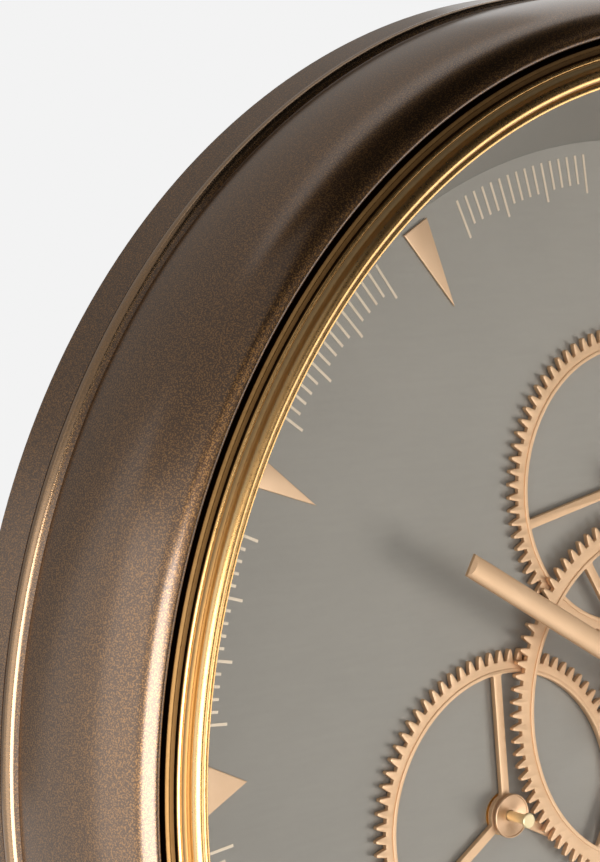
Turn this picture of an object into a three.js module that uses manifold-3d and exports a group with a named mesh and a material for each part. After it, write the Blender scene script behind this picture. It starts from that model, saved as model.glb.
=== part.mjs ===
// Gear wall clock: a round case with a bronze band and a stepped gold ring, a flat dial behind glass,
// a train of open toothed wheels turning on the dial, and a battery movement that drives the hands.
//
// Frame: millimetres, X to the right, Z up, the viewer looks along +Y and the wall is the plane Y = 0.
// The origin is on the wall, where the nail carries the keyhole plate.
// A "depth" is the distance from the wall towards the viewer, and a "lift" the distance from the dial.
// Clock angles are in degrees, clockwise from 12 as the viewer sees them.

import * as THREE from "three";
import { mergeVertices } from "three/addons/utils/BufferGeometryUtils.js";
import Module from "manifold-3d";

const wasm = await Module();
wasm.setup();

// Fits

const SEAT_GAP = 0.3;
const RUNNING_GAP = 0.3;
// How far a cutter runs past the face that it opens
const OVERCUT = 1;

// Dial, glass and the ring between them

const DIAL_FRONT = 28.3;
const DIAL_THICKNESS = 3;
const GLASS_RADIUS = 236;
const GLASS_THICKNESS = 3;
const GASKET_THICKNESS = 1.1;
const GASKET_WIDTH = 5.8;
const REHAUT_HEIGHT = 38.7;
const REHAUT_SLOPE = 18.5;
const REHAUT_WALL = 2;
const REHAUT_FOOT = 3;
const REHAUT_TOP_STEP = 0.6;
const REHAUT_FOOT_STEP = 1;
const DIAL_SCREW_COVER = 0.4;

// Gold ring: from the glass outwards a narrow lip, the wide bead, a groove, a fine bead and a ledge

const RING_LIP_OVERLAP = 6.4;
const RING_LIP_HEIGHT = 4;
const RING_LIP_WIDTH = 2.4;
const RING_LIP_CROWN = 0.8;
const RING_BEAD_WIDTH = 4.6;
const RING_BEAD_HEIGHT = 3.2;
const RING_GROOVE_WIDTH = 2.1;
const RING_GROOVE_DEPTH = 0.5;
const RING_FINE_BEAD = 1.8;
const RING_NOTCH_WIDTH = 0.5;
const RING_NOTCH_DEPTH = 1.5;
const RING_LEDGE_SLOPE = 1;
const RING_CHAMFER = 0.5;
const RING_REBATE = 4.3;
const RING_BODY_WIDTH = 7.6;

// Bronze band and rear frame

const BAND_SHADOW_GAP = 0.9;
const BAND_SHOULDER = 2.2;
const BAND_SHOULDER_DROP = 3.8;
const BAND_SWELL = 16.5;
const BAND_BELOW_BEAD = 3.2;
const BAND_WALL = 3;
const BAND_SHELF = 6.2;
const BAND_FOOT_WIDTH = 16.2;
const FOOT_BEAD_HEIGHT = 6.5;
const FOOT_BEAD_SWELL = 2;
const FOOT_GROOVE = 1.4;
const FOOT_BEAD_OFFSET = 1;
const FRAME_WEB_FRONT = 14.1;
const FRAME_WALL = 3;
const FRAME_FLARE = 2.8;
const FRAME_RIM_WIDTH = 6;
const FRAME_LEDGE = 10;

// Wheels

const MODULE = 1.5;
const SUN_TEETH = 30;
const PLANET_TEETH = 78;
const CROWN_TEETH = 94;
const ADDENDUM = 1.5;
const DEDENDUM = 2.7;
const TOOTH_TIP = 1.1;
const TOOTH_ROOT = 3;
const WHEEL_THICKNESS = 2.5;
const PLANET_RIM = 4.4;
const CROWN_RIM = 5.9;
const SPOKE_WIDTH = 3.6;
const SPOKES = 3;
const PLANET_HUB = 7.6;
const CROWN_HUB = 12;
const PLANET_CORNER = 0.9;
const CROWN_CORNER = 1.2;
const SUN_TOOTH_ANGLE = 4.5;
const CROWN_TOOTH_ANGLE = -26.1;
const CROWN_SPOKE_ANGLE = -30.6;
const PLANETS = [
  { name: "a", angle: -4.9, spoke: 19, driven: false },
  { name: "c", angle: -113.9, spoke: -2.3, driven: true },
  { name: "d", angle: 120, spoke: 75, driven: false },
];

// Arbors, caps and spacers of the three outer wheels

const ARBOR_RADIUS = 1.8;
const ARBOR_LIFT = 14.5;
const ARBOR_HEAD_RADIUS = 2.7;
const ARBOR_HEAD_THICKNESS = 1.4;
const ARBOR_RIVET_RADIUS = 3.4;
const ARBOR_RIVET_HEIGHT = 1.1;
const SPACER_RADIUS = 7.8;
const SPACER_THICKNESS = 0.4;
const CAP_RADIUS = 8;
const CAP_HEIGHT = 2.2;
const CAP_RIM = 0.8;
const CAP_FLOOR_RADIUS = 3.2;
const CAP_FLOOR_THICKNESS = 0.8;

// Centre of the clock

const MINUTE_SHAFT_RADIUS = 1.6;
const HOUR_TUBE_WALL = 0.7;
const STUD_WALL = 1.1;
const STUD_LIFT = 17;
const BUSH_WALL = 1.7;
const WASHER_WIDTH = 5;
const WASHER_THICKNESS = 0.8;
const NUT_RADIUS = 7;
const NUT_HEIGHT = 3;
const NUT_SIDES = 6;

// Hands, set to 10:03

const HOURS = 10;
const MINUTES = 3;
const HAND_THICKNESS = 2.6;
const HAND_EDGE = 0.6;
const HAND_CHAMFER = 1.3;
const HOUR_HAND_LIFT = 22;
const HOUR_HAND_LENGTH = 121.6;
const HOUR_HAND_WIDTH = 9;
const HOUR_HAND_TIP = 8.2;
const HOUR_EYE_RADIUS = 7;
const MINUTE_HAND_LIFT = 26.2;
const MINUTE_HAND_LENGTH = 190;
const MINUTE_HAND_WIDTH = 8;
const MINUTE_HAND_TIP = 7.2;
const MINUTE_EYE_RADIUS = 6;
const HAND_TAIL = 24;
const CAP_NUT_RADIUS = 4;
const CAP_NUT_EDGE = 1;
const CAP_NUT_HEIGHT = 3;

// Battery units behind the dial

const UNIT_SIZE = 56;
const UNIT_THICKNESS = 16;
const UNIT_CORNER = 4;
const UNIT_BORE_DEPTH = 6;
const BAY_LENGTH = 53;
const BAY_WIDTH = 15.2;
const BAY_DEPTH = 13.5;
const BAY_MARGIN = 1.7;
const CONTACT_THICKNESS = 0.5;
const CONTACT_WIDTH = 8;
const CONTACT_HEIGHT = 11;
const CONTACT_FOOT = 3;
const EAR_WIDTH = 10;
const EAR_LENGTH = 8;
const EAR_THICKNESS = 3;
const KNOB_X = 14;
const KNOB_Z = 12;
const KNOB_RADIUS = 6.5;
const KNOB_THICKNESS = 3;
const KNOB_STEM_RADIUS = 2;
const KNOB_STEM_LENGTH = 3.7;
const KNOB_RIBS = 18;
const KNOB_RIB_HEIGHT = 0.6;

// Screws and hanger

const SCREW_RADIUS = 1.5;
const SCREW_HEAD_RADIUS = 3.2;
const SCREW_HEAD_HEIGHT = 2;
const SCREW_HEAD_TAPER = 0.64;
const SCREW_COUNT = 6;
const HANGER_WIDTH = 56;
const HANGER_HEIGHT = 18;
const HANGER_THICKNESS = 1.5;
const HANGER_SCREW_SPACING = 40;
const KEYHOLE_HEAD_RADIUS = 5.5;
const KEYHOLE_SLOT_RADIUS = 2.7;
const KEYHOLE_LENGTH = 7.5;
const KEYHOLE_ROOM = 2;
const HANGER_CORNER = 3;
const HANGER_DROP = 3;
const HANGER_INSET = 1.5;

// Facets

const RING_FACETS = 48;
const BOSS_FACETS = 16;
const SMALL_FACETS = 12;
const SCREW_FACETS = 6;

// Places that follow from the sizes above

const dialBack = DIAL_FRONT - DIAL_THICKNESS;
const unitFront = dialBack - SEAT_GAP;
const unitBack = unitFront - UNIT_THICKNESS;
const rehautBack = DIAL_FRONT + SEAT_GAP;
const rehautFront = rehautBack + REHAUT_HEIGHT;
const gasketBack = rehautFront + SEAT_GAP;
const glassBack = gasketBack + GASKET_THICKNESS + SEAT_GAP;
const glassFront = glassBack + GLASS_THICKNESS;
const ringOnGlass = glassFront + SEAT_GAP;
const ringCrest = ringOnGlass + RING_LIP_HEIGHT + RING_BEAD_HEIGHT;
const ringBack = ringOnGlass - RING_REBATE - SEAT_GAP;
const lipRadius = GLASS_RADIUS - RING_LIP_OVERLAP;
const rebateRadius = GLASS_RADIUS + SEAT_GAP;
const ringRadius = rebateRadius + RING_BODY_WIDTH;
const bandInner = ringRadius + BAND_SHADOW_GAP;
const bandCrestRadius = bandInner + BAND_SHOULDER;
const bandRadius = bandCrestRadius + BAND_SWELL;
const bandCrest = ringCrest - BAND_BELOW_BEAD;
const bandFoot = FRAME_WEB_FRONT + SEAT_GAP;
const bandStart = bandFoot + FOOT_BEAD_HEIGHT + FOOT_GROOVE;
const footBeadRadius = bandRadius + FOOT_BEAD_OFFSET;
const footInner = bandRadius - BAND_FOOT_WIDTH;
const frameRadius = footBeadRadius + FOOT_BEAD_SWELL / 2 + FRAME_FLARE;
const frameRimInner = frameRadius - FRAME_RIM_WIDTH;
const frameWallOuter = footInner - FOOT_BEAD_SWELL;
const frameWallInner = frameWallOuter - FRAME_WALL;
const frameWebBack = FRAME_WEB_FRONT - FRAME_WALL;
const frameLedgeBack = unitFront - FRAME_WALL;
const frameLedgeInner = GLASS_RADIUS - FRAME_LEDGE;
const caseScrewCircle = (footInner + bandRadius - BAND_WALL) / 2;
const dialScrewCircle = GLASS_RADIUS - FRAME_LEDGE / 2;
const screwBore = SCREW_RADIUS + SEAT_GAP;

const arborBore = ARBOR_RADIUS + RUNNING_GAP;
const hourTubeBore = MINUTE_SHAFT_RADIUS + RUNNING_GAP;
const hourTubeRadius = hourTubeBore + HOUR_TUBE_WALL;
const studBore = hourTubeRadius + RUNNING_GAP;
const studRadius = studBore + STUD_WALL;
const bushBore = studRadius + SEAT_GAP;
const bushRadius = bushBore + BUSH_WALL;
const crownBore = bushRadius + RUNNING_GAP;

const planetBack = DIAL_FRONT + SPACER_THICKNESS + RUNNING_GAP;
const crownBack = planetBack + WHEEL_THICKNESS + RUNNING_GAP;
const crownFront = crownBack + WHEEL_THICKNESS;
const capBack = planetBack + WHEEL_THICKNESS + SEAT_GAP;
const bushFront = crownFront + RUNNING_GAP;
const washerBack = bushFront + SEAT_GAP;
const nutBack = washerBack + WASHER_THICKNESS + SEAT_GAP;
const planetDistance = (MODULE * (SUN_TEETH + PLANET_TEETH)) / 2;
const studBack = unitFront - UNIT_BORE_DEPTH + SEAT_GAP;

const hangerFront = frameWebBack - SEAT_GAP;
const hangerBack = hangerFront - HANGER_THICKNESS;
const hangerHeight = caseScrewCircle - HANGER_INSET;
const dialScrewTip = rehautBack + REHAUT_FOOT - DIAL_SCREW_COVER - SEAT_GAP;

// Solids: each geometry becomes a closed solid for joins and cuts, and goes back into a geometry

function solidOf(geometry) {
  const bare = geometry.clone();
  bare.deleteAttribute("normal");
  bare.deleteAttribute("uv");
  const merged = mergeVertices(bare, 1e-4);
  const corners = merged.index.array;
  const kept = [];
  for (let i = 0; i < corners.length; i += 3) {
    const [a, b, c] = corners.slice(i, i + 3);
    if (a !== b && b !== c && c !== a) kept.push(a, b, c);
  }
  const mesh = new wasm.Mesh({
    numProp: 3,
    vertProperties: merged.attributes.position.array,
    triVerts: new Uint32Array(kept),
  });
  return new wasm.Manifold(mesh);
}

function geometryOf(solid) {
  const mesh = solid.getMesh();
  const geometry = new THREE.BufferGeometry();
  geometry.setAttribute("position", new THREE.BufferAttribute(mesh.vertProperties, 3));
  geometry.setIndex(new THREE.BufferAttribute(mesh.triVerts, 1));
  const faceted = geometry.toNonIndexed();
  faceted.computeVertexNormals();
  return faceted;
}

function cut(geometry, tools) {
  return geometryOf(tools.reduce((solid, tool) => solid.subtract(solidOf(tool)), solidOf(geometry)));
}

function join(geometries) {
  return geometryOf(geometries.map(solidOf).reduce((sum, next) => sum.add(next)));
}

// A point at a clock angle
function polar(radius, angle) {
  const turn = THREE.MathUtils.degToRad(angle);
  return new THREE.Vector2(radius * Math.sin(turn), radius * Math.cos(turn));
}

// Points along an ellipse arc, from one angle in degrees to another
function arc(centreX, centreY, radiusX, radiusY, from, to, steps) {
  const points = [];
  for (let i = 0; i <= steps; i += 1) {
    const turn = THREE.MathUtils.degToRad(from + ((to - from) * i) / steps);
    points.push([centreX + radiusX * Math.cos(turn), centreY + radiusY * Math.sin(turn)]);
  }
  return points;
}

// A turned piece on the clock's axis: its section is a closed loop of radius and depth
function turned(section, facets = RING_FACETS) {
  const points = section.map(([radius, depth]) => new THREE.Vector2(radius, -depth));
  if (THREE.ShapeUtils.area(points) < 0) points.reverse();
  points.push(points[0].clone());
  return geometryOf(solidOf(new THREE.LatheGeometry(points, facets)));
}

// A plain round bar on the clock's axis or beside it
function rod(radius, back, front, x = 0, z = 0, facets = SMALL_FACETS) {
  const bar = new THREE.CylinderGeometry(radius, radius, front - back, facets);
  return bar.translate(x, -(back + front) / 2, z);
}

function tube(inner, outer, back, front, facets = SMALL_FACETS) {
  return turned([[inner, back], [outer, back], [outer, front], [inner, front]], facets);
}

function block(width, height, back, front, x = 0, z = 0) {
  return new THREE.BoxGeometry(width, front - back, height).translate(x, -(back + front) / 2, z);
}

// A flat piece: an outline in the viewer's plane, thick from its back to its front depth
function plate(outline, holes, back, front) {
  const around = THREE.ShapeUtils.isClockWise(outline) ? outline.toReversed() : outline;
  const shape = new THREE.Shape(around);
  shape.holes = holes.map((hole) => new THREE.Path(hole));
  const flat = new THREE.ExtrudeGeometry(shape, { depth: front - back, bevelEnabled: false });
  return flat.rotateX(Math.PI / 2).translate(0, -back, 0);
}

function circle(radius, facets = SMALL_FACETS) {
  return Array.from({ length: facets }, (_, i) => polar(radius, (360 * i) / facets));
}

function roundedRectangle(width, height, corner) {
  const corners = [[1, 1, 0], [-1, 1, 90], [-1, -1, 180], [1, -1, 270]];
  return corners.flatMap(([sideX, sideZ, start]) => {
    const x = sideX * (width / 2 - corner);
    const z = sideZ * (height / 2 - corner);
    return arc(x, z, corner, corner, start, start + 90, 3).map(([px, pz]) => new THREE.Vector2(px, pz));
  });
}

// Screw holes and screws stand on a circle round the clock's axis
function screwPlaces(circleRadius, firstAngle) {
  const step = 360 / SCREW_COUNT;
  return Array.from({ length: SCREW_COUNT }, (_, i) => polar(circleRadius, firstAngle + step * i));
}

const caseScrewPlaces = screwPlaces(caseScrewCircle, 30);
const dialScrewPlaces = screwPlaces(dialScrewCircle, 0);

function screwBores(places, back, front) {
  return places.map((place) => rod(screwBore, back, front, place.x, place.y, SCREW_FACETS));
}

// A pan-head screw whose head seats at one depth and whose tip ends at another
function screw(headFront, tip) {
  const headBack = headFront - SCREW_HEAD_HEIGHT;
  const section = [
    [0, headBack],
    [SCREW_HEAD_RADIUS - SCREW_HEAD_TAPER, headBack],
    [SCREW_HEAD_RADIUS, headFront],
    [SCREW_RADIUS, headFront],
    [SCREW_RADIUS, tip],
    [0, tip],
  ];
  return turned(section, SCREW_FACETS);
}

// Case

// The band is a hollow shell: a bead at the foot, a swollen side that rises to a crest,
// a shelf inside for the gold ring, and a flat foot for the screws
function caseBezel() {
  const rise = bandCrest - bandStart;
  const footMiddle = bandFoot + FOOT_BEAD_HEIGHT / 2;
  const shelfFront = ringBack - SEAT_GAP;
  const shelfBack = shelfFront - BAND_WALL;
  const footFront = bandFoot + BAND_WALL;
  const section = [
    ...arc(footBeadRadius, footMiddle, FOOT_BEAD_SWELL, FOOT_BEAD_HEIGHT / 2, -90, 90, 3),
    ...arc(bandCrestRadius, bandStart, BAND_SWELL, rise, 0, 90, 7),
    ...arc(bandCrestRadius, bandCrest - BAND_SHOULDER_DROP, BAND_SHOULDER, BAND_SHOULDER_DROP, 130, 180, 1),
    [bandInner, shelfFront],
    [bandInner - BAND_SHELF, shelfFront],
    [bandInner - BAND_SHELF, shelfBack],
    [bandInner + BAND_WALL, shelfBack],
    ...arc(bandCrestRadius, bandStart, BAND_SWELL - BAND_WALL, rise - BAND_WALL, 80, 0, 2),
    [bandRadius - BAND_WALL, footFront],
    [footInner, footFront],
    [footInner, bandFoot],
  ];
  return cut(turned(section), screwBores(caseScrewPlaces, bandFoot - OVERCUT, footFront + OVERCUT));
}

// The rear frame stands on the wall, carries the band on its web and the dial on its inner ledge
function rearFrame() {
  const section = [
    [frameRadius, 0],
    [frameRadius - FRAME_FLARE, FRAME_WEB_FRONT],
    [frameWallOuter, FRAME_WEB_FRONT],
    [frameWallOuter, unitFront],
    [frameLedgeInner, unitFront],
    [frameLedgeInner, frameLedgeBack],
    [frameWallInner, frameLedgeBack],
    [frameWallInner, frameWebBack],
    [frameRimInner, frameWebBack],
    [frameRimInner, 0],
  ];
  const nailRoomHeight = 2 * (KEYHOLE_LENGTH + KEYHOLE_HEAD_RADIUS);
  const nailRoomWidth = 2 * (KEYHOLE_HEAD_RADIUS + KEYHOLE_ROOM);
  const nailRoomZ = hangerHeight - KEYHOLE_LENGTH + KEYHOLE_ROOM;
  const cutBack = frameWebBack - OVERCUT;
  const cutFront = FRAME_WEB_FRONT + OVERCUT;
  return cut(turned(section), [
    ...screwBores(caseScrewPlaces, cutBack, cutFront),
    ...screwBores(dialScrewPlaces, frameLedgeBack - OVERCUT, unitFront + OVERCUT),
    ...screwBores(hangerScrewPlaces(), cutBack, cutFront),
    block(nailRoomWidth, nailRoomHeight, cutBack, cutFront, 0, nailRoomZ),
  ]);
}

function goldRing() {
  const lipFront = ringOnGlass + RING_LIP_HEIGHT;
  const lipMiddle = lipRadius + RING_LIP_WIDTH / 2;
  const lipShoulder = lipFront - RING_LIP_CROWN / 2;
  const beadInner = lipRadius + RING_LIP_WIDTH;
  const beadOuter = beadInner + RING_BEAD_WIDTH;
  const fineBead = beadOuter + RING_GROOVE_WIDTH + RING_FINE_BEAD / 2;
  const notch = fineBead + RING_FINE_BEAD / 2;
  const ledge = notch + RING_NOTCH_WIDTH;
  const grooveFloor = lipFront - RING_GROOVE_DEPTH;
  const section = [
    [lipRadius, ringOnGlass],
    ...arc(lipMiddle, lipShoulder, RING_LIP_WIDTH / 2, RING_LIP_CROWN, 180, 0, 2),
    ...arc(beadInner + RING_BEAD_WIDTH / 2, lipFront, RING_BEAD_WIDTH / 2, RING_BEAD_HEIGHT, 180, 0, 6),
    [beadOuter + RING_GROOVE_DEPTH / 2, grooveFloor],
    ...arc(fineBead, grooveFloor, RING_FINE_BEAD / 2, RING_FINE_BEAD / 2, 180, 0, 2),
    [notch, grooveFloor - RING_NOTCH_DEPTH],
    [ledge, grooveFloor - RING_NOTCH_DEPTH],
    [ledge, grooveFloor],
    [ringRadius - RING_CHAMFER, grooveFloor - RING_LEDGE_SLOPE],
    [ringRadius, grooveFloor - RING_LEDGE_SLOPE - RING_CHAMFER],
    [ringRadius, ringBack],
    [rebateRadius, ringBack],
    [rebateRadius, ringOnGlass],
  ];
  return turned(section);
}

function glassLens() {
  return rod(GLASS_RADIUS, glassBack, glassFront, 0, 0, RING_FACETS);
}

function glassGasket() {
  const gasketFront = gasketBack + GASKET_THICKNESS;
  return tube(GLASS_RADIUS - GASKET_WIDTH, GLASS_RADIUS, gasketBack, gasketFront, RING_FACETS);
}

// The sloping inner ring widens from the dial to the glass and keeps the two apart
function rehautRing() {
  const topInner = lipRadius - REHAUT_TOP_STEP;
  const footInnerRadius = topInner - REHAUT_SLOPE;
  const footFront = rehautBack + REHAUT_FOOT;
  const topBack = rehautFront - REHAUT_WALL;
  const slope = REHAUT_SLOPE / REHAUT_HEIGHT;
  const wall = REHAUT_WALL * Math.hypot(1, slope);
  const section = [
    [footInnerRadius, rehautBack],
    [topInner, rehautFront],
    [GLASS_RADIUS, rehautFront],
    [GLASS_RADIUS, topBack],
    [topInner - slope * REHAUT_WALL + wall, topBack],
    [footInnerRadius + slope * REHAUT_FOOT + wall, footFront],
    [GLASS_RADIUS - REHAUT_FOOT_STEP, footFront],
    [GLASS_RADIUS - REHAUT_FOOT_STEP, rehautBack],
  ];
  const boreFront = footFront - DIAL_SCREW_COVER;
  return cut(turned(section), screwBores(dialScrewPlaces, rehautBack - OVERCUT, boreFront));
}

function dialPlate() {
  const cutBack = dialBack - OVERCUT;
  const cutFront = DIAL_FRONT + OVERCUT;
  const bores = PLANETS.map((planet) => {
    const place = planetPlace(planet);
    return rod(arborBore, cutBack, cutFront, place.x, place.y);
  });
  return cut(rod(GLASS_RADIUS, dialBack, DIAL_FRONT, 0, 0, RING_FACETS), [
    rod(bushBore, cutBack, cutFront),
    ...bores,
    ...screwBores(dialScrewPlaces, cutBack, cutFront),
    ...screwBores(unitScrewPlaces(), cutBack, DIAL_FRONT - SEAT_GAP),
  ]);
}

// Hanger

function hangerScrewPlaces() {
  const z = hangerHeight - HANGER_DROP;
  return [-1, 1].map((side) => new THREE.Vector2((side * HANGER_SCREW_SPACING) / 2, z));
}

// The nail's head goes through the round hole, and its shank then lies at the top of the slot
function hangerPlate() {
  const cutBack = hangerBack - OVERCUT;
  const cutFront = hangerFront + OVERCUT;
  const slotWidth = 2 * KEYHOLE_SLOT_RADIUS;
  const slotMiddle = hangerHeight - KEYHOLE_LENGTH / 2;
  const outline = roundedRectangle(HANGER_WIDTH, HANGER_HEIGHT, HANGER_CORNER);
  const blank = plate(outline, [], hangerBack, hangerFront).translate(0, 0, hangerHeight - HANGER_DROP);
  return cut(blank, [
    rod(KEYHOLE_HEAD_RADIUS, cutBack, cutFront, 0, hangerHeight - KEYHOLE_LENGTH),
    rod(KEYHOLE_SLOT_RADIUS, cutBack, cutFront, 0, hangerHeight),
    block(slotWidth, KEYHOLE_LENGTH, cutBack, cutFront, 0, slotMiddle),
    ...screwBores(hangerScrewPlaces(), cutBack, cutFront),
  ]);
}

// Wheels

// Each tooth is a trapezium on the root circle
function teethOutline(teeth, toothAngle) {
  const pitchRadius = (MODULE * teeth) / 2;
  const tipRadius = pitchRadius + ADDENDUM;
  const rootRadius = pitchRadius - DEDENDUM;
  const halfTip = THREE.MathUtils.radToDeg(TOOTH_TIP / 2 / tipRadius);
  const halfRoot = THREE.MathUtils.radToDeg(TOOTH_ROOT / 2 / rootRadius);
  return Array.from({ length: teeth }, (_, i) => toothAngle + (360 * i) / teeth).flatMap((middle) => [
    polar(rootRadius, middle - halfRoot),
    polar(tipRadius, middle - halfTip),
    polar(tipRadius, middle + halfTip),
    polar(rootRadius, middle + halfRoot),
  ]);
}

// The window between a spoke and the next: half of it is laid out beside its first spoke, as angle and
// radius, with a round corner at the hub and one at the rim, and the other half is its mirror image
function windowOutline(rimRadius, hubRadius, corner, spokeAngle) {
  const half = SPOKE_WIDTH / 2;
  const span = 360 / SPOKES;
  const hubCorner = Math.min(corner, hubRadius / 3);
  const hubX = Math.sqrt((hubRadius + hubCorner) ** 2 - (half + hubCorner) ** 2);
  const rimX = Math.sqrt((rimRadius - corner) ** 2 - (half + corner) ** 2);
  const hubTurn = THREE.MathUtils.radToDeg(Math.atan2(half + hubCorner, hubX));
  const rimTurn = THREE.MathUtils.radToDeg(Math.atan2(half + corner, rimX));
  const side = [
    [hubRadius * Math.cos(Math.PI / SPOKES), hubRadius * Math.sin(Math.PI / SPOKES)],
    ...arc(hubX, half + hubCorner, hubCorner, hubCorner, hubTurn + 180, 270, 1),
    ...arc(rimX, half + corner, corner, corner, -90, rimTurn, 2),
    ...arc(0, 0, rimRadius, rimRadius, rimTurn, span / 2, 4).slice(1),
  ];
  const places = side.map(([x, y]) => [THREE.MathUtils.radToDeg(Math.atan2(y, x)), Math.hypot(x, y)]);
  const mirrored = places.slice(1, -1).reverse().map(([turn, radius]) => [span - turn, radius]);
  return [...places, ...mirrored].map(([turn, radius]) => polar(radius, spokeAngle + turn));
}

function spokedWheel(wheel, back) {
  const rimRadius = (MODULE * wheel.teeth) / 2 - DEDENDUM - wheel.rim;
  const windows = Array.from({ length: SPOKES }, (_, i) => {
    const spokeAngle = wheel.spokeAngle + (360 * i) / SPOKES;
    return windowOutline(rimRadius, wheel.hub, wheel.corner, spokeAngle);
  });
  const outline = teethOutline(wheel.teeth, wheel.toothAngle);
  return plate(outline, [...windows, circle(wheel.bore)], back, back + WHEEL_THICKNESS);
}

function planetPlace(planet) {
  return polar(planetDistance, planet.angle);
}

// A planet has a gap where the sun has a tooth
function planetToothAngle(planet) {
  const sunToothFromLine = SUN_TOOTH_ANGLE - planet.angle;
  const gapAngle = planet.angle + 180 - (sunToothFromLine * SUN_TEETH) / PLANET_TEETH;
  return gapAngle + 180 / PLANET_TEETH;
}

function planetWheel(planet) {
  const wheel = {
    teeth: PLANET_TEETH,
    toothAngle: planetToothAngle(planet),
    spokeAngle: planet.spoke,
    rim: PLANET_RIM,
    hub: PLANET_HUB,
    corner: PLANET_CORNER,
    bore: arborBore,
  };
  return spokedWheel(wheel, planetBack);
}

function crownWheel() {
  const wheel = {
    teeth: CROWN_TEETH,
    toothAngle: CROWN_TOOTH_ANGLE,
    spokeAngle: CROWN_SPOKE_ANGLE,
    rim: CROWN_RIM,
    hub: CROWN_HUB,
    corner: CROWN_CORNER,
    bore: crownBore,
  };
  return spokedWheel(wheel, crownBack);
}

function sunPinion() {
  const outline = teethOutline(SUN_TEETH, SUN_TOOTH_ANGLE);
  return plate(outline, [circle(crownBore)], planetBack, planetBack + WHEEL_THICKNESS);
}

// A fixed arbor is riveted behind the dial, and the driven one reaches into the drive unit.
// Both stand well clear of their wheel and end in a flat round head.
function arbor(planet) {
  const front = DIAL_FRONT + ARBOR_LIFT;
  const headBack = front - ARBOR_HEAD_THICKNESS;
  const head = [
    [ARBOR_RADIUS, headBack],
    [ARBOR_HEAD_RADIUS, headBack],
    [ARBOR_HEAD_RADIUS, front],
    [0, front],
  ];
  const rivetBack = unitFront - ARBOR_RIVET_HEIGHT;
  const rivet = [
    [0, rivetBack],
    [ARBOR_RIVET_RADIUS, rivetBack],
    [ARBOR_RIVET_RADIUS, unitFront],
    [ARBOR_RADIUS, unitFront],
  ];
  const drivenEnd = [
    [0, studBack],
    [ARBOR_RADIUS, studBack],
  ];
  return turned([...(planet.driven ? drivenEnd : rivet), ...head], SMALL_FACETS);
}

function spacer() {
  return tube(arborBore, SPACER_RADIUS, DIAL_FRONT, DIAL_FRONT + SPACER_THICKNESS, BOSS_FACETS);
}

// A dished cap: its rim stands out from the wheel and its floor lies round the arbor
function hubCap() {
  const rimBack = capBack + CAP_HEIGHT - CAP_RIM;
  const section = [
    [arborBore, capBack],
    [CAP_FLOOR_RADIUS + CAP_RIM, capBack],
    [CAP_RADIUS, rimBack],
    [CAP_RADIUS, capBack + CAP_HEIGHT],
    [CAP_RADIUS - CAP_RIM, capBack + CAP_HEIGHT],
    [CAP_FLOOR_RADIUS, capBack + CAP_FLOOR_THICKNESS],
    [arborBore, capBack + CAP_FLOOR_THICKNESS],
  ];
  return turned(section, BOSS_FACETS);
}

// Centre

const hourHandBack = DIAL_FRONT + HOUR_HAND_LIFT;
const minuteHandBack = DIAL_FRONT + MINUTE_HAND_LIFT;
const hourTubeFront = hourHandBack + HAND_THICKNESS + SEAT_GAP;
const minuteShaftFront = minuteHandBack + HAND_THICKNESS + SEAT_GAP + CAP_NUT_HEIGHT / 2;

function movementStud() {
  return tube(studBore, studRadius, studBack, DIAL_FRONT + STUD_LIFT);
}

function hourTube() {
  return tube(hourTubeBore, hourTubeRadius, studBack, hourTubeFront);
}

function minuteShaft() {
  return rod(MINUTE_SHAFT_RADIUS, studBack, minuteShaftFront);
}

function centreBush() {
  return tube(bushBore, bushRadius, DIAL_FRONT + SEAT_GAP, bushFront);
}

function studWasher() {
  return tube(bushBore, bushBore + WASHER_WIDTH, washerBack, washerBack + WASHER_THICKNESS);
}

function studNut() {
  const nutFront = nutBack + NUT_HEIGHT;
  const bore = rod(bushBore, nutBack - OVERCUT, nutFront + OVERCUT);
  return cut(rod(NUT_RADIUS, nutBack, nutFront, 0, 0, NUT_SIDES), [bore]);
}

// Hands

// A half-round bar with a flat back and square ends, whose width changes evenly towards its tip
function handBar(hand) {
  const rise = HAND_THICKNESS - HAND_EDGE;
  const arch = arc(0, HAND_EDGE, 0.5, rise, 0, 180, 8).map(([x, y]) => new THREE.Vector2(x, y));
  const section = new THREE.Shape([new THREE.Vector2(-0.5, 0), new THREE.Vector2(0.5, 0), ...arch]);
  const bar = new THREE.ExtrudeGeometry(section, { depth: hand.length + HAND_TAIL, bevelEnabled: false });
  bar.rotateZ(Math.PI).translate(0, -hand.back, -HAND_TAIL);
  const position = bar.attributes.position;
  for (let i = 0; i < position.count; i += 1) {
    const width = hand.width + ((hand.tip - hand.width) * position.getZ(i)) / hand.length;
    position.setX(i, position.getX(i) * width);
  }
  return bar;
}

// A cube on its edge that cuts a slanting face off the front of the tip
function tipChamfer(hand) {
  const side = 2 * hand.tip;
  const away = (side / 2) * Math.SQRT1_2;
  const front = hand.back + HAND_THICKNESS;
  const cube = new THREE.BoxGeometry(side, side, side).rotateX(Math.PI / 4);
  return cube.translate(0, HAND_CHAMFER / 2 - front - away, hand.length - HAND_CHAMFER / 2 + away);
}

function handOf(hand) {
  const front = hand.back + HAND_THICKNESS;
  const eye = rod(hand.eye, hand.back, front, 0, 0, BOSS_FACETS);
  const bore = rod(hand.bore, hand.back - OVERCUT, front + OVERCUT);
  return cut(join([handBar(hand), eye]), [bore, tipChamfer(hand)]);
}

function hourHand() {
  return handOf({
    length: HOUR_HAND_LENGTH,
    width: HOUR_HAND_WIDTH,
    tip: HOUR_HAND_TIP,
    eye: HOUR_EYE_RADIUS,
    bore: hourTubeRadius + SEAT_GAP,
    back: hourHandBack,
  });
}

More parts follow.
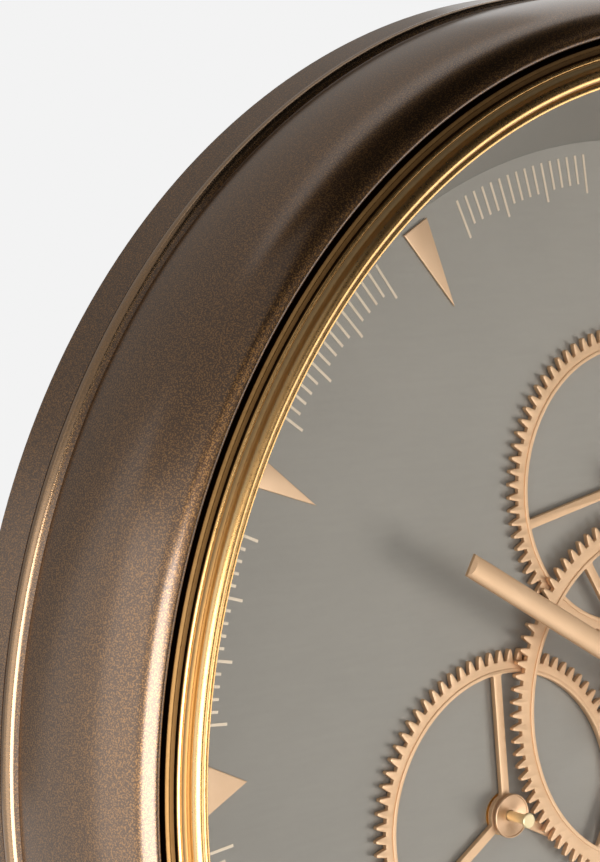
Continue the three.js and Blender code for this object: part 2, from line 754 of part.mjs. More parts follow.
function minuteHand() {
  return handOf({
    length: MINUTE_HAND_LENGTH,
    width: MINUTE_HAND_WIDTH,
    tip: MINUTE_HAND_TIP,
    eye: MINUTE_EYE_RADIUS,
    bore: MINUTE_SHAFT_RADIUS + SEAT_GAP,
    back: minuteHandBack,
  });
}

// The round nut that holds the minute hand hides the end of its shaft
function handNut() {
  const back = minuteHandBack + HAND_THICKNESS + SEAT_GAP;
  const bore = MINUTE_SHAFT_RADIUS + SEAT_GAP;
  const section = [
    [bore, back],
    [CAP_NUT_RADIUS, back],
    ...arc(0, back + CAP_NUT_EDGE, CAP_NUT_RADIUS, CAP_NUT_HEIGHT, 0, 90, 4),
    [0, minuteShaftFront + SEAT_GAP],
    [bore, minuteShaftFront + SEAT_GAP],
  ];
  return turned(section, SMALL_FACETS);
}

// Battery units

const bayFront = unitBack + BAY_DEPTH;
const bayZ = -UNIT_SIZE / 2 + BAY_MARGIN + BAY_WIDTH / 2;

// A moulded box with a bore in its front for the arbors and a battery bay open to the wall
function unitCase(bore, extras, cuts) {
  const box = plate(roundedRectangle(UNIT_SIZE, UNIT_SIZE, UNIT_CORNER), [], unitBack, unitFront);
  return cut(join([box, ...extras]), [
    rod(bore, unitFront - UNIT_BORE_DEPTH, unitFront + OVERCUT),
    block(BAY_LENGTH, BAY_WIDTH, unitBack - OVERCUT, bayFront, 0, bayZ),
    ...cuts,
  ]);
}

function movementCase() {
  const knobBore = KNOB_STEM_RADIUS + RUNNING_GAP;
  const stemFront = unitBack + KNOB_STEM_LENGTH;
  return unitCase(bushBore, [], [rod(knobBore, unitBack - OVERCUT, stemFront, KNOB_X, KNOB_Z)]);
}

// The drive unit is screwed to the dial's back by two ears
function earPlaces() {
  return [-1, 1].map((side) => new THREE.Vector2(0, (side * (UNIT_SIZE + EAR_LENGTH)) / 2));
}

function unitScrewPlaces() {
  const driven = PLANETS.find((planet) => planet.driven);
  return earPlaces().map((ear) => ear.clone().add(planetPlace(driven)));
}

function gearMotorCase() {
  const earBack = unitFront - EAR_THICKNESS;
  const ears = block(EAR_WIDTH, UNIT_SIZE + 2 * EAR_LENGTH, earBack, unitFront);
  const bores = screwBores(earPlaces(), earBack - OVERCUT, unitFront + OVERCUT);
  return unitCase(arborBore, [ears], bores);
}

function settingKnob() {
  const front = unitBack - SEAT_GAP;
  const rim = Array.from({ length: KNOB_RIBS * 2 }, (_, i) => {
    const radius = i % 2 ? KNOB_RADIUS : KNOB_RADIUS - KNOB_RIB_HEIGHT;
    return polar(radius, (180 * i) / KNOB_RIBS);
  });
  const head = plate(rim, [], front - KNOB_THICKNESS, front);
  const stemFront = unitBack + KNOB_STEM_LENGTH - SEAT_GAP;
  const stem = rod(KNOB_STEM_RADIUS, front - KNOB_THICKNESS / 2, stemFront);
  return join([head, stem]);
}

// A bent strip at the end of a bay: it stands along the end wall and has a foot on the floor
function contactStrip(side) {
  const wall = BAY_LENGTH / 2 - SEAT_GAP;
  const floor = bayFront - SEAT_GAP;
  const outline = [
    [wall, floor],
    [wall, floor - CONTACT_HEIGHT],
    [wall - CONTACT_THICKNESS, floor - CONTACT_HEIGHT],
    [wall - CONTACT_THICKNESS, floor - CONTACT_THICKNESS],
    [wall - CONTACT_FOOT, floor - CONTACT_THICKNESS],
    [wall - CONTACT_FOOT, floor],
  ];
  const shape = new THREE.Shape(outline.map(([x, depth]) => new THREE.Vector2(side * x, -depth)));
  const strip = new THREE.ExtrudeGeometry(shape, { depth: CONTACT_WIDTH, bevelEnabled: false });
  return strip.translate(0, 0, bayZ - CONTACT_WIDTH / 2);
}

// Finishes

const bronze = { color: 0x54463e, roughness: 0.38, metalness: 0.6 };
const gold = { color: 0xe6be6e, roughness: 0.22, metalness: 1 };
const champagne = { color: 0xe1b98c, roughness: 0.42, metalness: 0.8 };
const dialGrey = { color: 0x918c84, roughness: 0.6, metalness: 0 };
const rehautGrey = { color: 0x7f7b73, roughness: 0.55, metalness: 0 };
const clearGlass = { color: 0xf2f6f5, roughness: 0.05, metalness: 0, transparent: true, opacity: 0.2 };
const blackPlastic = { color: 0x1c1c1e, roughness: 0.6, metalness: 0 };
const rubber = { color: 0x151515, roughness: 0.85, metalness: 0 };
const steel = { color: 0xb9bcc0, roughness: 0.35, metalness: 1 };
const brass = { color: 0xd8ac5c, roughness: 0.28, metalness: 1 };

// The group hangs from the nail, so the clock's axis lies below the origin
const clock = new THREE.Group();
clock.position.z = -hangerHeight;

function piece(name, geometry, finish, parent = clock) {
  const mesh = new THREE.Mesh(geometry, new THREE.MeshStandardMaterial(finish));
  mesh.name = name;
  parent.add(mesh);
  return mesh;
}

function groupAt(place) {
  const group = new THREE.Group();
  group.position.set(place.x, 0, place.y);
  clock.add(group);
  return group;
}

function addScrews(name, places, headFront, tip) {
  places.forEach((place, i) => {
    piece(name + "_" + (i + 1), screw(headFront, tip), steel, groupAt(place));
  });
}

piece("case_bezel", caseBezel(), bronze);
piece("rear_frame", rearFrame(), bronze);
piece("gold_ring", goldRing(), gold);
piece("glass_lens", glassLens(), clearGlass);
piece("glass_gasket", glassGasket(), rubber);
piece("rehaut_ring", rehautRing(), rehautGrey);
piece("dial_plate", dialPlate(), dialGrey);
piece("hanger_plate", hangerPlate(), steel);

const caseScrewTip = bandFoot + BAND_WALL - SEAT_GAP;
const hangerScrewTip = FRAME_WEB_FRONT - SEAT_GAP;
const motorScrewHead = unitFront - EAR_THICKNESS - SEAT_GAP;
const motorScrewTip = DIAL_FRONT - 2 * SEAT_GAP;
addScrews("case_screw", caseScrewPlaces, frameWebBack - SEAT_GAP, caseScrewTip);
addScrews("dial_screw", dialScrewPlaces, frameLedgeBack - SEAT_GAP, dialScrewTip);
addScrews("hanger_screw", hangerScrewPlaces(), hangerBack - SEAT_GAP, hangerScrewTip);
addScrews("motor_screw", unitScrewPlaces(), motorScrewHead, motorScrewTip);

PLANETS.forEach((planet) => {
  const place = groupAt(planetPlace(planet));
  piece("spacer_" + planet.name, spacer(), brass, place);
  piece("arbor_" + planet.name, arbor(planet), brass, place);
  piece("gear_" + planet.name, planetWheel(planet), champagne, place);
  piece("hub_cap_" + planet.name, hubCap(), champagne, place);
  if (planet.driven) {
    piece("gear_motor_case", gearMotorCase(), blackPlastic, place);
    piece("motor_contact_left", contactStrip(-1), steel, place);
    piece("motor_contact_right", contactStrip(1), steel, place);
  }
});

piece("gear_b", crownWheel(), champagne);
piece("sun_pinion", sunPinion(), champagne);
piece("centre_bush", centreBush(), brass);
piece("stud_washer", studWasher(), brass);
piece("stud_nut", studNut(), brass);
piece("movement_stud", movementStud(), brass);
piece("hour_tube", hourTube(), brass);
piece("minute_shaft", minuteShaft(), brass);
piece("movement_case", movementCase(), blackPlastic);
piece("movement_contact_left", contactStrip(-1), steel);
piece("movement_contact_right", contactStrip(1), steel);
piece("setting_knob", settingKnob(), blackPlastic).position.set(KNOB_X, 0, KNOB_Z);

const hourAngle = (HOURS + MINUTES / 60) * 30;
const minuteAngle = MINUTES * 6;
piece("hour_hand", hourHand(), champagne).rotation.y = THREE.MathUtils.degToRad(hourAngle);
piece("minute_hand", minuteHand(), champagne).rotation.y = THREE.MathUtils.degToRad(minuteAngle);
piece("hand_nut", handNut(), brass);

const root = new THREE.Group();
root.add(clock);

export default root;
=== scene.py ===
# %% [markdown]
# A gear wall clock, dressed in Blender around its CAD frame.
# The CAD model gives every piece its place and size. This script gives each piece a fine mesh and a
# finish, and sets the light and the camera. It does not render.
# Everything is in metres: X to the right, Z up, and the viewer looks along +Y at the wall (Y = 0).

# %% Load the frame
import math

import bmesh
import bpy
from mathutils import Matrix, Quaternion, Vector


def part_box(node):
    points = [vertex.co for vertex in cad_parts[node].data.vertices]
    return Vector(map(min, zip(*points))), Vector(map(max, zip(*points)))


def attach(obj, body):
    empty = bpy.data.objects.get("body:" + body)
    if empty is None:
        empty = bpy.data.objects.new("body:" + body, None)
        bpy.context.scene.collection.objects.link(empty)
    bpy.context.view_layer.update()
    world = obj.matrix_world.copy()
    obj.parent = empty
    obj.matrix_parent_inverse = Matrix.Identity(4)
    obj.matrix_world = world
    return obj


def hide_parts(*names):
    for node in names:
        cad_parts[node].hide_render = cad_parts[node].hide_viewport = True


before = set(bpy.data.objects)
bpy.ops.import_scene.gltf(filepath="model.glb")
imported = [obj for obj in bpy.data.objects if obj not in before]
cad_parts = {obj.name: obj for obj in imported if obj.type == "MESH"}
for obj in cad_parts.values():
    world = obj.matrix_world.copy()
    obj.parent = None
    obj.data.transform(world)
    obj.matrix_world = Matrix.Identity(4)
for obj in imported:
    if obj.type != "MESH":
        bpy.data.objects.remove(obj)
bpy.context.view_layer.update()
MM = 0.001
ORIGIN = Vector((0, 0, 0))

# %% [markdown]
# The clock is round, so most of its pieces share one axis. The dial's box gives that axis, and the
# joints give the centres of the wheels. A "depth" is a distance from the wall in millimetres, and a
# clock angle runs clockwise from 12, as the viewer sees it.

# %% Places that the frame gives
dial_low, dial_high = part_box("dial_plate")
CENTRE = Vector(((dial_low.x + dial_high.x) / 2, 0, (dial_low.z + dial_high.z) / 2))


def depth_of(node):
    """Back and front depth of a CAD node, in millimetres."""
    low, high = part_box(node)
    return -high.y / MM, -low.y / MM


def place_of(node):
    """The centre of a CAD node in the plane of the wall."""
    low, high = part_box(node)
    return Vector(((low.x + high.x) / 2, 0, (low.z + high.z) / 2))


DIAL_BACK, DIAL_FRONT = depth_of("dial_plate")
print("axis at", tuple(round(v, 4) for v in CENTRE), "dial front", round(DIAL_FRONT, 2))

# %% [markdown]
# The camera stands to the left of the clock and close to it, and sees only the upper left quarter.
# Its place and direction were solved from the dial's marks and the wheels' rims, so the same marks
# land on the same spots of the picture. A track quaternion turns the camera's -Z to the view
# direction, and a small roll about that direction finishes it.

# %% Camera
CAMERA_PLACE = Vector((-0.5122, -0.5266, -0.0977))
CAMERA_AZIMUTH = math.radians(35.556)
CAMERA_PITCH = math.radians(-3.929)
CAMERA_ROLL = math.radians(2.692)
CAMERA_LENS = 77.34

look = Vector((
    math.sin(CAMERA_AZIMUTH) * math.cos(CAMERA_PITCH),
    math.cos(CAMERA_AZIMUTH) * math.cos(CAMERA_PITCH),
    math.sin(CAMERA_PITCH),
))
camera = bpy.data.objects.new("camera", bpy.data.cameras.new("camera"))
camera.data.lens = CAMERA_LENS
camera.data.clip_start = 0.01
camera.rotation_mode = "QUATERNION"
camera.rotation_quaternion = look.to_track_quat("-Z", "Y") @ Quaternion((0, 0, 1), -CAMERA_ROLL)
camera.location = CAMERA_PLACE
bpy.context.scene.collection.objects.link(camera)
bpy.context.scene.camera = camera
print("camera right", [round(v, 4) for v in camera.rotation_quaternion @ Vector((1, 0, 0))])

# %% [markdown]
# A finish is a node tree. Written out node by node it is hard to read, so two small classes help:
# Value wraps a socket and lets plain arithmetic add the Math nodes, and Paint holds one material.
# A number that is the same all over is written on the shader's own socket, never through a node.

# %% Shader maths
class Value:
    """A grey socket that takes part in arithmetic."""

    def __init__(self, paint, socket):
        self.paint = paint
        self.socket = socket

    def math(self, operation, first, second):
        node = self.paint.node("ShaderNodeMath", {"operation": operation}, {0: first, 1: second})
        return Value(self.paint, node.outputs[0])

    def __add__(self, other):
        return self.math("ADD", self, other)

    def __mul__(self, other):
        return self.math("MULTIPLY", self, other)

    def __sub__(self, other):
        return self.math("SUBTRACT", self, other)

    def __rsub__(self, other):
        return self.math("SUBTRACT", other, self)

    __radd__ = __add__
    __rmul__ = __mul__


class Paint:
    """A material under construction: its nodes, and the Principled shader that they feed."""

    def __init__(self, name):
        self.material = bpy.data.materials.new(name)
        self.material.use_nodes = True
        self.tree = self.material.node_tree
        self.tree.nodes.clear()
        self.shader = self.node("ShaderNodeBsdfPrincipled")
        self.node("ShaderNodeOutputMaterial", inputs={"Surface": self.shader.outputs[0]})

    def node(self, kind, settings=None, inputs=None):
        """Adds a node: its settings come first, then the values or links of its sockets."""
        node = self.tree.nodes.new(kind)
        for name, setting in (settings or {}).items():
            setattr(node, name, setting)
        for key, value in (inputs or {}).items():
            self.feed(node.inputs[key], value)
        return node

    def feed(self, socket, value):
        if isinstance(value, Value):
            value = value.socket
        if isinstance(value, bpy.types.NodeSocket):
            self.tree.links.new(value, socket)
        else:
            socket.default_value = value

    def point(self):
        """The point on the object, in metres."""
        return self.node("ShaderNodeTexCoord").outputs["Object"]

    def vector_math(self, operation, *inputs):
        return self.node("ShaderNodeVectorMath", {"operation": operation}, dict(enumerate(inputs)))

    def noise(self, scale, detail=2.0, stretch=None):
        """A soft noise, stretched where a grain has a direction."""
        point = self.point()
        if stretch:
            point = self.vector_math("MULTIPLY", point, stretch).outputs[0]
        inputs = {"Vector": point, "Scale": scale, "Detail": detail}
        return Value(self, self.node("ShaderNodeTexNoise", inputs=inputs).outputs[0])

    def axis_distance(self):
        """How far the point is from the clock's axis, in millimetres."""
        away = self.vector_math("SUBTRACT", self.point(), tuple(CENTRE)).outputs[0]
        in_the_plane = self.vector_math("MULTIPLY", away, (1, 0, 1)).outputs[0]
        return Value(self, self.vector_math("LENGTH", in_the_plane).outputs["Value"]) * (1 / MM)

    def depth(self):
        """How far the point is from the wall, in millimetres."""
        parts = self.node("ShaderNodeSeparateXYZ", inputs={0: self.point()})
        return Value(self, parts.outputs["Y"]) * (-1 / MM)

    def steps(self, value, stops):
        """A ramp of greys: where a value lies between two stops, so does the result."""
        node = self.node("ShaderNodeValToRGB", inputs={0: value})
        elements = node.color_ramp.elements
        while len(elements) < len(stops):
            elements.new(0.5)
        for element, (position, grey) in zip(elements, stops):
            element.position = position
            element.color = (grey, grey, grey, 1)
        return Value(self, node.outputs[0])

    def zones(self, length, stops):
        """A ramp of greys over a length, with its stops in millimetres."""
        first, last = stops[0][0], stops[-1][0]
        shares = [((stop - first) / (last - first), grey) for stop, grey in stops]
        return self.steps((length - first) * (1 / (last - first)), shares)

    def mix(self, mask, first, second):
        """Goes from one colour to another where the mask goes from 0 to 1."""
        inputs = {0: mask, 6: colour(first), 7: colour(second)}
        return self.node("ShaderNodeMix", {"data_type": "RGBA"}, inputs).outputs[2]

    def bump(self, height, strength, reach):
        """Small dents from a height, as deep as reach says, in millimetres."""
        inputs = {"Height": height, "Strength": strength, "Distance": reach * MM}
        return self.node("ShaderNodeBump", inputs=inputs).outputs[0]

    def surface(self, **sockets):
        """Feeds the shader's sockets by their names, with _ for a space."""
        for name, value in sockets.items():
            self.feed(self.shader.inputs[name.replace("_", " ")], value)
        return self.material


def colour(value):
    """A colour as a socket takes it: a link stays, and a hex code becomes linear RGBA."""
    if not isinstance(value, str):
        return value
    channels = [int(value[i:i + 2], 16) / 255 for i in (0, 2, 4)]
    return [c / 12.92 if c <= 0.04045 else ((c + 0.055) / 1.055) ** 2.4 for c in channels] + [1]


# %% [markdown]
# The band and the rear frame are spun metal under a bronze lacquer. The lacquer is full of metal
# flakes less than half a millimetre wide, each tilted a little its own way. Where something bright is
# mirrored they glitter as a fine grain, and away from it the coat is a dark brown. So the flakes are a
# bump and a change of roughness, and the brightest are paler too. A slow noise clouds the tone as a
# sprayed coat does, and a clear coat lies on top. Two masks follow the band's section. The bead at its
# foot is smoother, and its colour is painted paler as a painted highlight. The gap between the crest
# and the gold ring is painted almost black as painted shade.

# %% Bronze lacquer
# Depths of the foot bead, whose colour is painted paler as a painted highlight.
FOOT_BEAD_HIGHLIGHT = [(14.0, 0.0), (14.6, 1.0), (20.6, 1.0), (21.2, 0.0)]
# Radius and depth ramps of the gap between crest and ring, which is painted almost black as painted
# shade.
OUTSIDE_GAP = [(245.5, 0.0), (247.0, 1.0)]
NEAR_FRONT = [(58.0, 0.0), (62.0, 1.0)]


def bronze_lacquer():
    paint = Paint("bronze_lacquer_finish")
    flakes = paint.noise(2200, 1.0)
    clouds = paint.noise(14, 3.0)
    ground = paint.mix(clouds, "48321f", "573f28")
    glints = paint.steps(flakes, [(0.49, 0.0), (0.62, 1.0)])
    # Painted highlight: the foot bead's colour goes half way to a pale bronze, and its roughness drops.
    foot_highlight = paint.zones(paint.depth(), FOOT_BEAD_HIGHLIGHT)
    # Painted shade: near the front and inside the crest the colour becomes 0d0805 and the coat thin.
    gap_painted_shade = paint.zones(paint.depth(), NEAR_FRONT) * (1 - paint.zones(paint.axis_distance(), OUTSIDE_GAP))
    outside_painted_shade = 1 - gap_painted_shade
    speckled = paint.mix(glints * 0.44, ground, "b58246")
    return paint.surface(
        Base_Color=paint.mix(outside_painted_shade, "0d0805", paint.mix(foot_highlight * 0.5, speckled, "b08a5e")),
        Metallic=1.0,
        Roughness=0.24 + 0.16 * flakes - 0.12 * foot_highlight,
        Normal=paint.bump(flakes, 0.4, 0.08),
        Specular_Tint=(0.6, 0.52, 0.44, 1),
        Coat_Weight=0.15 + 0.75 * outside_painted_shade,
        Coat_IOR=1.7,
        Coat_Roughness=0.21,
    )


# %% [markdown]
# The stepped ring is plated and polished gold. Its grooves keep a dark patina that the polishing wheel
# does not reach. The sloping ledge and the outer wall beside the gap to the band are darkened nearly
# as much, and there the dark is painted shade. So the tone follows the distance from the clock's axis:
# a ramp of greys over that radius says where the patina and the painted shade lie. One groove mirrors
# its own gold wall, which would turn it orange, so its gold is paler. A polished metal takes the rest
# of its look from what it mirrors, so slow clouds of tone, a little wear and a low roughness are enough.

# %% Polished gold
# Greys over the radius in millimetres: patina in the lip's hollow, the groove and the notch, and painted
# shade on the ledge from 241.2 and on the outer wall from 243.8.
PATINA_AND_SHADE = [
    (228.0, 0.1), (231.0, 0.15), (231.6, 0.55), (232.6, 0.55), (233.2, 0.12), (236.0, 0.2), (237.1, 0.4),
    (238.3, 0.75), (238.8, 0.08), (240.3, 0.08), (240.5, 1.0), (241.0, 1.0), (241.2, 0.92), (242.3, 0.88),
    (242.6, 0.84), (242.9, 0.72), (243.6, 0.8), (243.8, 1.0), (246.0, 1.0),
]
PALE_GROOVE = [(235.5, 0.0), (236.2, 1.0), (238.4, 1.0), (238.8, 0.0)]


def polished_gold():
    paint = Paint("polished_gold_finish")
    patina_and_shade = paint.zones(paint.axis_distance(), PATINA_AND_SHADE)
    groove = paint.zones(paint.axis_distance(), PALE_GROOVE)
    tone = paint.noise(30, 3.0)
    wear = paint.steps(paint.noise(420, 4.0), [(0.5, 0.0), (0.72, 1.0)])
    clean = paint.mix(wear * 0.25, paint.mix(tone, "dbaa69", "e4b578"), "94692f")
    fine = paint.noise(700, 2.0)
    return paint.surface(
        # The colour 301a07 is the patina in the hollows and the painted shade on the ledge and the outer
        # wall.
        Base_Color=paint.mix(patina_and_shade, paint.mix(groove * 0.85, clean, "d3b686"), "301a07"),
        Metallic=1.0,
        Roughness=0.2 + 0.08 * fine + 0.2 * patina_and_shade,
        Normal=paint.bump(fine, 0.05, 0.02),
    )


# %% [markdown]
# The wheels and the hands are anodised a pale champagne, half way between gold and copper. The finish
# is satin: the surface is blasted before it is coloured, so its grain has no direction.

# %% Satin champagne
def satin_champagne():
    paint = Paint("champagne_finish")
    tone = paint.noise(45, 2.0)
    grain = paint.noise(1300, 2.0)
    return paint.surface(
        Base_Color=paint.mix(tone, "cea67d", "ddb891"),
        Metallic=0.4,
        Roughness=0.4 + 0.12 * grain,
        Normal=paint.bump(grain, 0.12, 0.06),
    )


# %% [markdown]
# The dial is printed a warm grey: slow clouds, a fine speckle, and a weave whose noise is stretched
# sideways, as cloth looks. The sloping ring that rises to the glass has the same paint a tone darker,
# as painted shade, because it lies in the shade under the ring. One function makes both.

# %% Dial paint
def dial_paint(name, dark, light):
    paint = Paint(name)
    cloud = paint.noise(28, 3.0)
    speckle = paint.noise(700, 3.0)
    weave = paint.noise(620, 2.0, (0.12, 1, 1))
    return paint.surface(
        Base_Color=paint.mix(0.4 * cloud + 0.3 * speckle + 0.3 * weave, dark, light),
        Roughness=0.56 + 0.14 * speckle,
        Specular_IOR_Level=0.35,
        Normal=paint.bump(speckle, 0.15, 0.05),
    )


# %% [markdown]
# The minute ticks are foil in a paler tone than the wheels, and the hour triangles are thin plates in
# nearly the wheels' tone. Both catch the light as matt metal does, so they are only partly metallic.

# %% Ticks and hour marks
def mark_finish(name, dark, light):
    paint = Paint(name)
    cloud = paint.noise(120, 2.0)
    grain = paint.noise(1600, 2.0)
    return paint.surface(
        Base_Color=paint.mix(cloud, dark, light),
        Metallic=0.35,
        Roughness=0.42 + 0.15 * grain,
        Normal=paint.bump(grain, 0.1, 0.04),
    )


# %% [markdown]
# Plastics, rubber and the small metal parts share one recipe: two near tones mixed by a slow noise,
# and a fine grain for roughness and bump. Only the numbers differ, so one function makes them all.

# %% Plastics, rubber, steel and brass
def plain_finish(name, dark, light, metallic, roughness, grain_scale, grain_depth):
    paint = Paint(name)
    tone = paint.noise(60, 2.0)
    grain = paint.noise(grain_scale, 3.0)
    return paint.surface(
        Base_Color=paint.mix(tone, dark, light),
        Metallic=metallic,
        Roughness=roughness + 0.12 * grain,
        Normal=paint.bump(grain, 0.2, grain_depth),
    )


# %% [markdown]
# Flat glass in front of a dial is nearly invisible: it mirrors a small share of the light, more
# towards grazing angles, and lets the rest through. A refracting shader would darken the dial. Here
# the surface is a mirror whose alpha is that share: a small base and a power of how far the surface
# turns away, which works on the pane's back face too, where a Fresnel node would mirror everything.

# %% Clear glass
def clear_glass():
    paint = Paint("clear_glass_finish")
    slant = Value(paint, paint.node("ShaderNodeLayerWeight", inputs={"Blend": 0.5}).outputs["Facing"])
    share = slant.math("POWER", slant, 5.0)
    haze = paint.noise(60, 2.0)
    return paint.surface(
        Base_Color=(1, 1, 1, 1),
        Metallic=1.0,
        Roughness=0.02 + 0.02 * haze,
        Alpha=0.004 + 0.5 * share,
    )


# %% [markdown]
# One table holds the finishes. The two hex codes of a finish are near tones that a noise mixes, so no
# surface has a single flat colour.

# %% All finishes
FINISH = {
    "bronze": bronze_lacquer(),
    "gold": polished_gold(),
    "champagne": satin_champagne(),
    "dial": dial_paint("dial_finish", "918c82", "a49e93"),
    # The sloping ring's tones are the dial's made darker: painted shade under the ring.
    "rehaut": dial_paint("rehaut_shaded_finish", "77736b", "88837a"),
    "tick": mark_finish("tick_finish", "cbb9a0", "dccbb4"),
    "marker": mark_finish("marker_finish", "d0ab86", "dcb994"),
    "plastic": plain_finish("black_plastic_finish", "131314", "1d1d1f", 0.0, 0.5, 900, 0.06),
    "rubber": plain_finish("rubber_finish", "0d0d0d", "171717", 0.0, 0.78, 500, 0.05),
    "steel": plain_finish("steel_finish", "a2a5a9", "c3c6ca", 1.0, 0.28, 600, 0.03),
    "brass": plain_finish("brass_finish", "c3984e", "dcb46a", 1.0, 0.24, 500, 0.03),
    "bright_pin": plain_finish("bright_pin_finish", "dcc593", "efdcae", 0.5, 0.34, 500, 0.03),
    "hub_cap": plain_finish("hub_cap_finish", "be9772", "d0ab87", 0.5, 0.34, 900, 0.04),
    "glass": clear_glass(),
}
print("finishes:", len(FINISH))

# %% [markdown]
# Round pieces are turned: a closed section of radius and depth is swept about the clock's axis. A
# Screw modifier could do this, but a short loop gives exact control of the seams and of the points on
# the axis. Edges sharper than a limit stay crisp, the rest are shaded smooth.

# %% Turned pieces
SMOOTH_BELOW = math.radians(28)
RING_STEPS = 288
SMALL_STEPS = 48


def finish_mesh(name, mesh, finish):
    """Makes an object of a bmesh: outward faces, crisp corners, smooth curves."""
    bmesh.ops.recalc_face_normals(mesh, faces=mesh.faces)
    for face in mesh.faces:
        face.smooth = True
    for edge in mesh.edges:
        edge.smooth = len(edge.link_faces) == 2 and edge.calc_face_angle() < SMOOTH_BELOW
    data = bpy.data.meshes.new(name)
    mesh.to_mesh(data)
    mesh.free()
    data.materials.append(FINISH[finish])
    piece = bpy.data.objects.new(name, data)
    bpy.context.scene.collection.objects.link(piece)
    return piece


def sweep(mesh, section, steps, centre):
    """Adds one turned solid to a bmesh. The section's points are (radius, depth) in millimetres."""
    rings = []
    for radius, depth in section:
        count = 1 if radius == 0 else steps
        ring = []
        for i in range(count):
            turn = 2 * math.pi * i / count
            corner = Vector((radius * math.sin(turn), -depth, radius * math.cos(turn))) * MM
            ring.append(mesh.verts.new(centre + corner))
        rings.append(ring)
    for first, second in zip(rings, rings[1:] + rings[:1]):
        if len(first) == 1 and len(second) == 1:
            continue
        for i in range(steps):
            corners = [first[i % len(first)], first[(i + 1) % len(first)]]
            corners += [second[(i + 1) % len(second)], second[i % len(second)]]
            mesh.faces.new(list(dict.fromkeys(corners)))


def turned(name, section, finish, steps=RING_STEPS, centre=CENTRE):
    mesh = bmesh.new()
    sweep(mesh, section, steps, centre)
    return finish_mesh(name, mesh, finish)


def arc(middle, half, start, end, steps):
    """Points on an ellipse arc round a middle, with half its width and height, in degrees."""
    angles = [math.radians(start + (end - start) * i / steps) for i in range(steps + 1)]
    return [(middle[0] + half[0] * math.cos(a), middle[1] + half[1] * math.sin(a)) for a in angles]


def tube(inner, outer, back, front, edge=0):
    """The section of a tube, or of a disc if inner is 0, with its outer edges cut if edge says so."""
    if edge == 0:
        return [(inner, back), (outer, back), (outer, front), (inner, front)]
    outside = [(outer - edge, back), (outer, back + edge), (outer, front - edge), (outer - edge, front)]
    return [(inner, back), *outside, (inner, front)]


def settle(piece, body, slot, *nodes):
    """Every new piece rides on a body and hides the CAD nodes that it stands for; the slot is not used.
    """
    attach(piece, body)
    if nodes:
        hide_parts(*nodes)
    return piece


# %% [markdown]
# The bronze band is the clock's frame: a hollow shell with a bead at its foot, a swollen side that
# rises to a crest, and a shelf inside that carries the gold ring. The profile is the CAD's, with
# many more steps on its curves, so its outline and its reflections run smoothly.

# %% Bronze band
BAND_CREST_RADIUS = 247.0
BAND_INNER = 244.8
BAND_RADIUS = 263.5
BAND_START = 22.3
BAND_CREST = 76.3
BAND_WALL = 3.0
BAND_FOOT = 14.4
BEAD_HALF = 3.25
BEAD_SWELL = 2.0
CREST_ROUND = (2.2, 3.8)
SHELF_FRONT = 67.4
SHELF_INNER = 238.6
FOOT_INNER = 247.3

band_rise = BAND_CREST - BAND_START
band_section = [
    *arc((BAND_RADIUS + 1, BAND_FOOT + BEAD_HALF), (BEAD_SWELL, BEAD_HALF), -90, 90, 16),
    *arc((BAND_CREST_RADIUS, BAND_START), (BAND_RADIUS - BAND_CREST_RADIUS, band_rise), 0, 90, 56),
    *arc((BAND_CREST_RADIUS, BAND_CREST - CREST_ROUND[1]), CREST_ROUND, 110, 180, 8),
    (BAND_INNER, SHELF_FRONT),
    (SHELF_INNER, SHELF_FRONT),
    (SHELF_INNER, SHELF_FRONT - BAND_WALL),
    (BAND_INNER + BAND_WALL, SHELF_FRONT - BAND_WALL),
    *arc((BAND_CREST_RADIUS, BAND_START), (13.5, band_rise - BAND_WALL), 80, 0, 20),
    (BAND_RADIUS - BAND_WALL, BAND_FOOT + BAND_WALL),
    (FOOT_INNER, BAND_FOOT + BAND_WALL),
    (FOOT_INNER, BAND_FOOT),
]
band = settle(turned("band", band_section, "bronze"), "clock_body", "bronze_lacquer", "case_bezel")
print("band:", len(band.data.polygons), "faces")

# %% [markdown]
# The stepped ring lies inside the band and holds the glass. From the outside in it has a sloping
# ledge with a fine line, a dark notch, a thin bright bead, a groove, the wide rounded bead, and the
# lip that rests on the glass. Each curve is an ellipse arc of its own, so each draws its own line of
# light. The points of the ledge differ by tenths of a millimetre and are read off the picture.

# %% Gold ring
RING_RADIUS = 243.9
RING_LIP = 229.6
RING_ON_GLASS = 72.3
RING_BACK = 67.7
LIP_FRONT = 76.3
GROOVE_FLOOR = 75.8
REBATE = 236.3

ring_section = [
    (RING_LIP, RING_ON_GLASS),
    *arc((RING_LIP + 1.2, LIP_FRONT - 0.4), (1.2, 0.8), 180, 0, 14),
    *arc((RING_LIP + 4.7, LIP_FRONT), (2.3, 3.2), 180, 0, 32),
    (236.9, GROOVE_FLOOR),
    *arc((239.6, GROOVE_FLOOR), (0.9, 0.9), 180, 0, 14),
    (240.5, GROOVE_FLOOR - 1.5),
    (241.0, GROOVE_FLOOR - 1.5),
    (241.0, GROOVE_FLOOR - 0.2),
    (241.2, GROOVE_FLOOR - 0.05),
    (242.4, GROOVE_FLOOR - 0.25),
    (242.5, GROOVE_FLOOR - 0.45),
    (242.7, GROOVE_FLOOR - 0.5),
    (242.8, GROOVE_FLOOR - 0.35),
    (RING_RADIUS - 0.1, GROOVE_FLOOR - 0.55),
    (RING_RADIUS, GROOVE_FLOOR - 0.7),
    (RING_RADIUS, RING_BACK),
    (REBATE, RING_BACK),
    (REBATE, RING_ON_GLASS),
]
ring = settle(turned("stepped_ring", ring_section, "gold"), "clock_body", "gold_ring", "gold_ring")
print("ring:", len(ring.data.polygons), "faces")

# %% [markdown]
# Behind the ring lie the glass, a rubber gasket and the sloping grey ring that keeps the glass away
# from the dial. All three are turned from the boxes that the frame gives.

